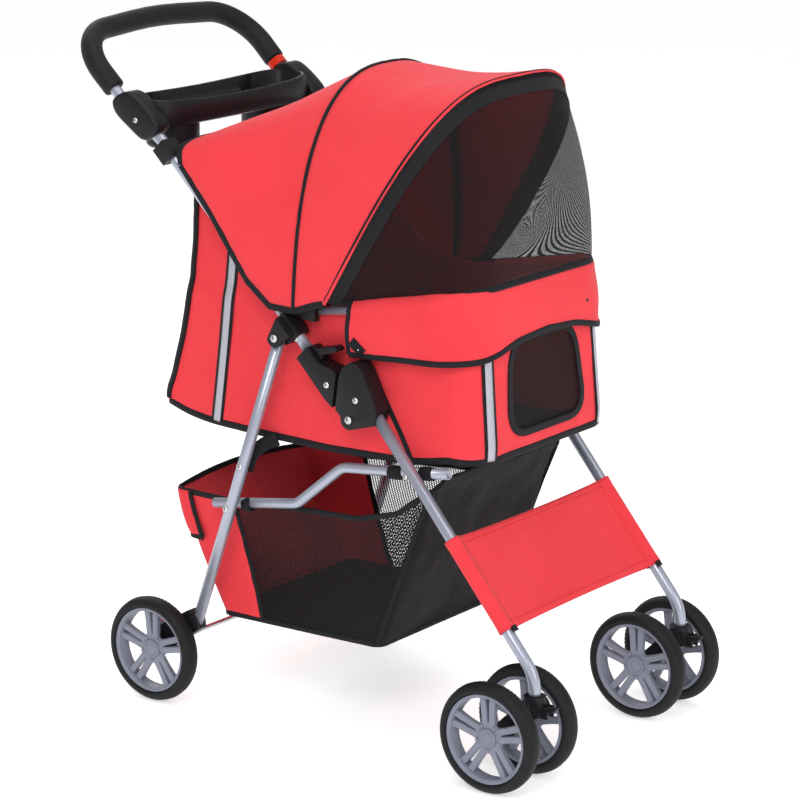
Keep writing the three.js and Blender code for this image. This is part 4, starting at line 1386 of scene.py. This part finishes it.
bottomLine = evenLine([cabinPoint(k / 400, 0.012) for k in range(401)], 200)
bottomBinding = edgeBinding("cabinBottomBinding", bottomLine, [awayFromCabin(p) for p in bottomLine], 10.5,
                            4.6, binding)
cabinTrim = [bottomBinding]
for label, sign in sides:
    g = 0.1 if sign < 0 else 0.9
    line = evenLine([cabinPoint(g, k / 80) for k in range(2, 81)], 60)
    outside = [Vector((-0.75, sign, 0)) for p in line]
    cabinTrim.append(edgeBinding("cabinRearCorner_" + label, line, outside, 12.5, 7.0, binding))


def lineOnSide(corners, sign, steps=40):
    return evenLine([pt(x, sign * cabin["half"], z) for x, z in corners], steps)


def reflectiveStrip(name, label, line, outside):
    # grey tape on a wider black one
    for part, width, lift, mat, thick in (
            ("Edge_", cabin["strip"] + 2 * cabin["stripEdge"] + 1, 1.3, binding, 0.8),
            ("_", cabin["strip"] - 2, 2.0, tape, 0.6)):
        cabinTrim.append(laidStrip(name + part + label, line, width, shellSurface, lift, mat, thick, outside))


for label, sign in sides:
    outside = Vector((0, sign, 0))
    stripLine = lineOnSide([(78, 405), (93, 520), (107, 640), (112, 690)], sign)
    reflectiveStrip("sideStrip", label, stripLine, outside)
    seamLine = lineOnSide([(306, 600), (314, 567), (352, 500), (388, 442), (413, 399)], sign)
    cabinTrim.append(laidStrip("frontSeam_" + label, seamLine, 7.5, shellSurface, 1.4, binding, 1.4, outside))
    frontLine = evenLine([pt(514, sign * 126.5, z) for z in (566, 520, 470, 412)], 40)
    reflectiveStrip("frontStrip", label, frontLine, Vector((1, sign * 0.6, 0)))
hatchPoints = [pt(514, y, z) for y, z in hatchLoop]
cabinTrim.append(laidStrip("hatchBorder", hatchPoints, 9.5, shellSurface, 1.4, binding, 1.8, Vector((1, 0, 0))))
print("cabin made")


# flap over the rail

flap = dict(start=317, out=11, thickness=1.6, puff=3.5, flare=7)
flapLowKeys = [(0.0, 536), (0.06, 537.5), (0.3, 546), (0.4, 562), (0.5, 567)]


def flapPath(offset, steps=180):
    path = bentPath([(flap["start"], -161 - offset, 0), (498 + offset, -161 - offset, 0, 60 + offset),
                     (498 + offset, 161 + offset, 0, 60 + offset), (flap["start"], 161 + offset, 0)], 5)
    return evenLine(path, steps)


def frontShare(p):
    # 0 along the sides, 1 round the front corners and across the front
    return smoothStep((xOf(p) - 400) / 90)


def flapTop(p):
    return 603 + (min(xOf(p), 506) - 317) * 0.18


def flapRows():
    rows = []
    profile = [(-8, -10), (-8, -4), (-6.5, 0.5), (-3, 3.2), (1, 3.6), (5, 1.8), (8.4, -2.4), (10.4, -8),
               (11, -15)]
    lines = {}
    steps = 180
    for o, h in profile + [(flap["out"], 0)]:
        lines[o] = flapPath(o, steps)
    for o, h in profile:
        row = []
        for k, p in enumerate(lines[o]):
            row.append(Vector((p.x, p.y, (flapTop(p) + h) * mm)))
        rows.append(row)
    for i in range(1, 15):
        s = i / 14
        row = []
        for k, p in enumerate(lines[flap["out"]]):
            top = flapTop(p) - 15
            g = k / steps
            low = eased(flapLowKeys, g if g <= 0.5 else 1 - g)[0]
            away = (p - lines[profile[0][0]][k]).normalized()
            shift = flap["flare"] * s * s * frontShare(p) + flap["puff"] * math.sin(math.pi * min(s * 1.15, 1))
            row.append(Vector((p.x, p.y, (top + (low - top) * s) * mm)) + away * shift * mm)
        rows.append(row)
    return rows


flapGrid = flapRows()
flapCloth = clothGrid("cabinFlap", ruffled(flapGrid, 1.8, 10, 11, 3), redFabric, flap["thickness"])
lowEdge = evenLine(flapGrid[-1], 150)
flapTrim = [edgeBinding("flapLowerBinding", lowEdge, [awayFromCabin(p) for p in lowEdge], 8.5, 3.2, binding)]
for label, sign in sides:
    k = 0 if sign < 0 else -1
    line = evenLine([row[k] for row in flapGrid[2:]], 30)
    flapTrim.append(edgeBinding("flapEnd_" + label, line, [Vector((0, sign, 0.05)) for p in line], 8, 3,
                                binding))


def snap(name, place, axis, mat, radius=5.2):
    profile = [(0, 3.4), (radius * 0.5, 3.3), (radius * 0.85, 2.6), (radius, 1.4), (radius, 0), (0, 0)]
    return turned(lathePiece(name, profile, mat, 32), place, axis)


for label, sign in sides:
    flapTrim.append(snap("frontSnap_" + label, pt(510.5, sign * 97, 586), (1, 0, 0), blackPlastic, 5.6))
    tabLine = [pt(x, sign * 171, z) for x, z in ((324, 556), (333, 548), (341, 540))]
    tab = laidStrip("sideTab_" + label, tabLine, 15, surfaceOf(flapGrid), 2.2, binding, 1.6,
                    Vector((0, sign, 0)))
    flapTrim += [tab, snap("sideSnap_" + label, pt(335, sign * 172.4, 545), (0, sign, 0), steel, 2.4)]
print("flap made")


# footrest panel

footrest = dict(top=(488.6, 313), foot=(575.5, 204.3), sleeve=10.1, sag=4, rows=26)


def makeFootrest():
    (x0, z0), (x1, z1) = footrest["top"], footrest["foot"]
    length = math.hypot(x1 - x0, z1 - z0)
    start = (x0 - legStart[0]) / downLeg[0]
    halfWide, r = tubes["frontHalf"], footrest["sleeve"]
    section = []                      # (y, out) once round both legs
    for k in range(13):
        a = math.radians(62 + 236 * k / 12)
        section.append((-halfWide + r * math.cos(a), r * math.sin(a)))
    under = [(-halfWide + 12 + (2 * halfWide - 24) * k / 40, -1.1) for k in range(41)]
    section += [(y, o - 1.5 * math.exp(-((halfWide - abs(y) - 12) / 14) ** 2)) for y, o in under]
    for k in range(13):
        a = math.radians(242 + 236 * k / 12)
        section.append((halfWide + r * math.cos(a), r * math.sin(a)))
    over = [(halfWide - 12 - (2 * halfWide - 24) * k / 40, 1.1) for k in range(41)]
    section += [(y, o + 1.5 * math.exp(-((halfWide - abs(y) - 12) / 14) ** 2)) for y, o in over]
    section.append(section[0])
    rows = []
    for i in range(footrest["rows"] + 1):
        s = i / footrest["rows"]
        row = []
        for y, out in section:
            middle = max(0.0, 1 - (y / (halfWide - 10)) ** 2)
            pull = 2.5 * middle * (2 * s - 1)          # edges pull in between the legs
            sag = -footrest["sag"] * middle * math.sin(math.pi * s)
            lip = 0.55 if s < 0.07 or s > 0.93 else 0
            x, z = alongLeg(start + length * s - pull, out + sag + (lip if out > 0 else -lip))
            row.append(pt(x, y, z))
        rows.append(row)
    return rows


footRows = makeFootrest()
footCloth = clothGrid("footrestPanel", footRows, redFabric, 1.1)


def stitches(name, points, normals, mat, every=3.4, long=2.2, wide=0.55):
    # a run of small raised threads
    total = pathLength(points)
    count = max(2, int(total / (every * mm)))
    line = evenLine(points, count)
    verts, faces = [], []
    for k in range(count):
        p = line[k]
        run = (line[k + 1] - p).normalized()
        n = normals(p) if callable(normals) else Vector(normals).normalized()
        side = run.cross(n).normalized()
        base = len(verts)
        ends = ((-0.5, 0.0, 0.2), (-0.25, 1.0, 0.75), (0.25, 1.0, 0.75), (0.5, 0.0, 0.2))
        for f, up, w in ends:
            c = p + run * f * long * mm + n * (0.15 + 0.4 * up) * mm
            verts += [c + side * w * wide * mm, c + n * 0.3 * mm * w, c - side * w * wide * mm,
                      c - n * 0.3 * mm * w]
        for i in range(3):
            for j in range(4):
                m = (j + 1) % 4
                faces.append((base + i * 4 + j, base + i * 4 + m, base + i * 4 + 4 + m, base + i * 4 + 4 + j))
        faces += [(base, base + 3, base + 2, base + 1), (base + 12, base + 13, base + 14, base + 15)]
    return meshPiece(name, verts, faces, mat)


redThread = webbing("redThread", (0.5, 0.02, 0.03), 1.0)
footTrim = []
footSurface = surfaceOf(footRows)
legNormal = Vector((-downLeg[1], 0, downLeg[0]))


def footPoint(y, s, out):
    (x0, z0), (x1, z1) = footrest["top"], footrest["foot"]
    start = (x0 - legStart[0]) / downLeg[0]
    x, z = alongLeg(start + math.hypot(x1 - x0, z1 - z0) * s, out)
    return pt(x, y, z)


def ontoFoot(points, lift):
    out = []
    for p in points:
        hit, normal, face, gap = footSurface.ray_cast(p + legNormal * 0.06, -legNormal)
        out.append((hit or p) + legNormal * lift * mm)
    return out


for label, sign in sides:
    for inset in (13.5,):
        line = [footPoint(sign * (tubes["frontHalf"] - inset), 0.02 + 0.96 * k / 30, 0) for k in range(31)]
        footTrim.append(stitches("footSeam_" + label, ontoFoot(line, 0.6), legNormal, redThread))
    tab = [footPoint(sign * (tubes["frontHalf"] - 3), s, 0) for s in (0.985, 1.0, 1.02, 1.045)]
    rows = [[p + Vector((0, w * 5.5 * mm, 0)) + legNormal * 10.6 * mm for w in (-1, -0.5, 0, 0.5,
                                                                                1)] for p in tab]
    footTrim.append(clothGrid("footTab_" + label, rows, binding, 1.4))
for s in (0.075, 0.925):
    line = [footPoint(-165 + 330 * k / 80, s, 0) for k in range(81)]
    footTrim.append(stitches("footHem", ontoFoot(line, 0.6), legNormal, redThread))
print("footrest made")


# basket

basket = dict(half=149, corner=16, redTo=102, columns=220, rows=34)
basketRear = [(120, 78), (126, 75), (200, 36), (262, 4), (290, -9)]
basketFront = [(120, 346), (132, 349), (306, 416), (376, 446)]


def basketPoint(g, h):
    # g runs 0 (rear middle) round the right side to 0.5 (front middle) and back round the left side
    mirror = 1 if g <= 0.5 else -1
    f = g * 2 if g <= 0.5 else (1 - g) * 2
    halfWide, r = basket["half"], basket["corner"]
    if f < 0.24:
        s = f / 0.24
        zb, zt = 127, 292 + 7 * (1 - s * s)
        z = zb + (zt - zb) * h
        y = -(halfWide - r) * s
        x = eased(basketRear, z)[0] - 9 * math.sin(math.pi * 0.5 * h) * (1 - s * s) * h
    elif f < 0.30:
        a = math.pi / 2 * (f - 0.24) / 0.06
        zb, zt = 127, 292
        z = zb + (zt - zb) * h
        x = eased(basketRear, z)[0] + r * (1 - math.cos(a))
        y = -(halfWide - r) - r * math.sin(a)
    elif f < 0.72:
        s = (f - 0.30) / 0.42
        zt = along([(0, 292), (0.25, 291), (0.5, 300), (0.78, 304), (0.93, 322), (1, 352)], s)[0]
        zb = 127 + 4 * s
        z = zb + (zt - zb) * h
        xa, xb = eased(basketRear, z)[0] + r, eased(basketFront, z)[0] - r
        x = xa + (xb - xa) * s
        y = -halfWide + 5 * math.sin(math.pi * s) * math.sin(math.pi * h)
    elif f < 0.78:
        a = math.pi / 2 * (f - 0.72) / 0.06
        zb, zt = 131, 352 + 24 * (f - 0.72) / 0.06
        z = zb + (zt - zb) * h
        x = eased(basketFront, z)[0] - r + r * math.sin(a)
        y = -halfWide + r * (1 - math.cos(a))
    else:
        s = (f - 0.78) / 0.22
        z = 131 + (376 - 131) * h
        x = eased(basketFront, z)[0] - 7 * math.sin(math.pi * h) * s
        y = -(halfWide - r) * (1 - s)
    return pt(x, y * mirror, z)


def basketPart(name, low, high, mat, columns, size, seed, thickness=1.3):
    rows = [[basketPoint(low + (high - low) * k / columns, i / basket["rows"]) for k in range(columns + 1)]
            for i in range(basket["rows"] + 1)]
    soft = ruffled(rows, size, 10, seed, 2) if size else rows
    return clothGrid(name, soft, mat, thickness), rows


# where the red panel ends and the net starts, and where the net meets the front panel
redEnd, netEnd = 0.2, 0.372
rearPanelRows = [[basketPoint((1 - redEnd + 2 * redEnd * k / 110) % 1.0,
                              i / basket["rows"]) for k in range(111)]
                 for i in range(basket["rows"] + 1)]
rearPanel = clothGrid("basketRearPanel", ruffled(rearPanelRows, 4.0, 8, 21, 3), redFabric, 1.3)
frontPanel, frontPanelRows = basketPart("basketFrontPanel", netEnd, 1 - netEnd, blackFabric, 110, 5.0, 23)
basketNets = []
for label, low, high in (("right", redEnd, netEnd), ("left", 1 - netEnd, 1 - redEnd)):
    basketNets.append(basketPart("basketNet_" + label, low, high, basketNet, 60, 0, 1, 0))
basketFloorRows = []
for i in range(33):
    share = i / 32
    x = 77 + (347 - 77) * share
    fromEnd = min(x - 77, 347 - x)
    nook = max(basket["corner"] - fromEnd, 0)
    wide = basket["half"] - basket["corner"] + math.sqrt(basket["corner"] ** 2 - nook ** 2)
    z = 127.5 + 4 * share
    sag = 3.5 * math.sin(math.pi * share)
    basketFloorRows.append([pt(x, wide * (2 * j / 24 - 1), z - sag * math.sin(math.pi * j / 24))
                            for j in range(25)])
basketFloor = clothGrid("basketFloor", basketFloorRows, blackFabric, 2.2)


def basketAway(p):
    return Vector((p.x - pt(200, 0, 0).x, p.y * 1.6, 0))


def basketLine(low, high, h, steps=120):
    return evenLine([basketPoint((low + (high - low) * k / 300) % 1.0, h) for k in range(301)], steps)


basketTrim = []
for name, points, width in (
        ("basketRearRim", basketLine(1 - redEnd, 1 + redEnd, 1.0), 8.5),
        ("basketSideRim_right", basketLine(redEnd, netEnd, 1.0, 40), 8.5),
        ("basketSideRim_left", basketLine(1 - netEnd, 1 - redEnd, 1.0, 40), 8.5),
        ("basketFrontRim", basketLine(netEnd, 1 - netEnd, 1.0), 7),
        ("basketFoot", basketLine(0.0, 0.9999, 0.004, 260), 8)):
    basketTrim.append(edgeBinding(name, points, [basketAway(p) for p in points], width, 3.4, binding))
for label, sign in sides:
    for tag, g in (("rear", redEnd), ("front", netEnd)):
        g = g if sign < 0 else 1 - g
        points = evenLine([basketPoint(g, k / 60) for k in range(61)], 40)
        outside = [Vector((0, sign, 0)) for p in points]
        basketTrim.append(edgeBinding("basketSeam_" + tag + "_" + label, points, outside, 8, 2.8, binding))


def basketFlap():
    # the rear panel's top, folded out and down, round both corners
    rows = []
    count = 90
    for i in range(15):
        s = i / 14
        row = []
        for k in range(count + 1):
            g = (1 - 0.158 + 0.316 * k / count) % 1.0
            p = basketPoint(g, 1 - 0.37 * s)
            away = basketAway(p).normalized()
            row.append(p + away * (2.2 + 4.5 * math.sin(math.pi * s * 0.6)) * mm + Vector((0, 0,
                                                                                           1.0 * mm * (1 - s))))
        rows.append(row)
    return rows


flapBack = basketFlap()
basketFold = clothGrid("basketFold", ruffled(flapBack, 2.0, 12, 31, 2), redFabric, 1.2)
foldEdge = evenLine(flapBack[-1], 110)
basketTrim.append(edgeBinding("basketFoldEdge", foldEdge, [basketAway(p) for p in foldEdge], 8, 3, binding))
for label, index in (("right", 0), ("left", -1)):
    line = evenLine([row[index] for row in flapBack], 16)
    sign = -1 if line[0].y < 0 else 1
    outside = [Vector((0, sign, 0)) for p in line]
    basketTrim.append(edgeBinding("basketFoldEnd_" + label, line, outside, 8, 3, binding))
basketTrim.append(snap("basketSnap", pt(9, -112, 268), (1, 0.1, 0.5), blackPlastic, 5))
print("basket made")


# loops, straps, rivets and screws

def loopRound(name, centre, axis, radius, width, mat):
    # a fabric loop round a bar
    axis = Vector(axis).normalized()
    first = axis.cross(Vector((0, 0, 1))).normalized()
    second = axis.cross(first)
    rows = []
    for i in range(9):
        s = i / 8 - 0.5
        swell = 1 + 0.05 * math.cos(2 * math.pi * s)
        turns = [2 * math.pi * k / 28 for k in range(29)]
        rows.append([centre + axis * s * width * mm
                     + (first * math.cos(a) * swell + second * math.sin(a) * swell) * radius * mm for a in turns])
    return clothGrid(name, rows, mat, 1.4)


loops = []
for label, sign in sides:
    y = sign * (tubes["frontHalf"] - tubes["radius"] - tubes["linkRadius"] - 1.5)
    for tag, x, z, wide in (("rear", 388, 383.6, 22), ("front", 438, 390.4, 20)):
        loops.append(loopRound("barLoop_" + tag + "_" + label, pt(x, y, z), (1, 0, 0.12), 8.6, wide,
                               blackFabric))
    y = sign * (tubes["rearHalf"] - tubes["radius"] - tubes["linkRadius"] - 1)
    loops.append(loopRound("barLoop_foot_" + label, pt(142, y - sign, 299), (1, 0, 0.17), 8.8, 14, blackFabric))

straps = []
for label, sign in sides:
    rows = []
    ends = [pt(188, sign * 163, 398), pt(168, sign * 168, 388), pt(152, sign * 173, 372),
            pt(146, sign * 177.2, 350)]
    line = smoothLine(ends, 24)
    for i, p in enumerate(line):
        run = (line[min(i + 1, 24)] - line[max(i - 1, 0)]).normalized()
        wide = Vector((0, sign, 0)).cross(run).normalized()
        rows.append([p + wide * w * 9.5 * mm for w in (-1, -0.6, -0.2, 0.2, 0.6, 1)])
    straps.append(clothGrid("legStrap_" + label, rows, binding, 1.5))


def rivet(name, place, sign, body, radius=4.6, cross=True):
    head = lathePiece(name,
                      [(0, 2.2), (radius * 0.35, 2.1), (radius * 0.75, 1.5), (radius, 0.4), (radius, -0.4),
                             (0, -0.4)], steel, 32)
    turned(head, place, (0, sign, 0))
    addPiece(head, body)
    if cross:
        for turn in (20, 110):
            slotBar = meshPiece(name + "_cross", *crossBar(place, sign, turn, radius), blackPlastic,
                                smooth=False)
            addPiece(slotBar, body)


def crossBar(place, sign, turn, radius):
    a = math.radians(turn)
    run, wide = Vector((math.cos(a), 0, math.sin(a))), Vector((-math.sin(a), 0, math.cos(a)))
    out = Vector((0, sign, 0))
    verts = [place + run * i * radius * 0.5 * mm + wide * j * 0.4 * mm + out * (1.35 + 0.9 * k) * mm
             for i in (-1, 1) for j in (-1, 1) for k in (0, 1)]
    return verts, blockFaces


rivets = dict(
    lockUpper=(293, 494, 190.2, "upper_frame"), lockLower=(341, 480, 190.2, "front_frame"),
    foldPivot=(330, 452, 191.6, "front_frame"), legPivot=(214, 548, 201.6, "upper_frame"),
    tubeScrew=(236, 546.5, 181.3, "upper_frame"), linkRear=(121, 295, 195.2, "rear_frame"),
    linkFront=(419, 388, 185.8, "front_frame"), strapScrew=(147, 359, 195.2, "rear_frame"))
for name, (x, z, y, body) in rivets.items():
    for label, sign in sides:
        rivet(name + "_" + label, pt(x, sign * y, z), sign, body, 4.6 if y > 188 else 3.8)
for label, sign in sides:
    armX, armZ = byHandle(handle["trayBend"] + 44, -6)
    rivet("trayScrew_" + label, pt(armX, sign * (half + 15.5), armZ), sign, "upper_frame", 4)
print("loops and rivets made")


# what the soft pieces ride on and fold with; the canopy pieces and the leg straps only have their place baked
# into their meshes

# the cabin hangs from the rail: the faces above the rail's plane are split off as a piece of their own, and both
# parts ride on the upper frame
railTilt = math.atan(railLine["slope"])
railNormal = Vector((-math.sin(railTilt), 0, math.cos(railTilt)))
cabinAnchor = pt(railLine["rear"][0], 0, railLine["rear"][1])


def aboveRail(obj, poly):
    return (obj.matrix_world @ poly.center - cabinAnchor).dot(railNormal) > 0


def splitAtRail(obj):
    # the faces above the rail's plane become a piece of their own
    above = [aboveRail(obj, poly) for poly in obj.data.polygons]
    if all(above):
        return None, obj
    if not any(above):
        return obj, None
    upper = obj.copy()
    upper.data = obj.data.copy()
    upper.name = obj.name + "Upper"
    scene.collection.objects.link(upper)
    for piece, drop in ((obj, True), (upper, False)):
        bm = bmesh.new()
        bm.from_mesh(piece.data)
        bm.faces.ensure_lookup_table()
        bmesh.ops.delete(bm, geom=[f for f in bm.faces if above[f.index] == drop], context="FACES")
        bm.to_mesh(piece.data)
        bm.free()
    return obj, upper


def softWithCabin(obj, replaced=()):
    lower, upper = splitAtRail(obj)
    if upper is not None:
        addPiece(upper, "upper_frame", replaced if lower is None else ())
    if lower is not None:
        addPiece(lower, "upper_frame", replaced)
        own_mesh(lower)
    return upper


cabinUpper = softWithCabin(cabinShell, ["cabin"])
softWithCabin(cabinNet)
softWithCabin(cabinFloor)
flapUpper = softWithCabin(flapCloth)
for obj in cabinTrim + flapTrim:
    softWithCabin(obj)
boardCopy = refined("floor_board", blackFabric, "upper_frame", 1.5)
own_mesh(boardCopy)


def blendOrRide(objs):
    for obj in objs:
        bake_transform(obj)


blendOrRide(rearPieces)
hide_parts("canopy")
for obj in frontPieces:
    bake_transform(obj)
for obj in (zipBand, zipTeeth):
    addPiece(obj, "front_bow")
for obj, slotName in ((net, "black_mesh"), (netBorder, "basket_fabric"), (rimBinding, "basket_fabric")):
    addPiece(obj, "upper_frame", ["mesh_window"] if obj is net else ())
for obj in (net, netBorder):
    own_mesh(obj)
addPiece(footCloth, "front_frame", ["footrest_panel"])
for obj in footTrim:
    addPiece(obj, "front_frame")


def softWithBasket(obj, replaced=()):
    addPiece(obj, "link_bars", replaced)
    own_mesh(obj)


softWithBasket(rearPanel, ["basket"])
softWithBasket(basketFold)
softWithBasket(frontPanel)
softWithBasket(basketFloor)
for obj, rows in basketNets:
    softWithBasket(obj)
for obj in basketTrim:
    softWithBasket(obj)
for obj in loops:
    addPiece(obj, "link_bars")
for obj in straps:
    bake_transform(obj)

print("pieces hung on their bodies")

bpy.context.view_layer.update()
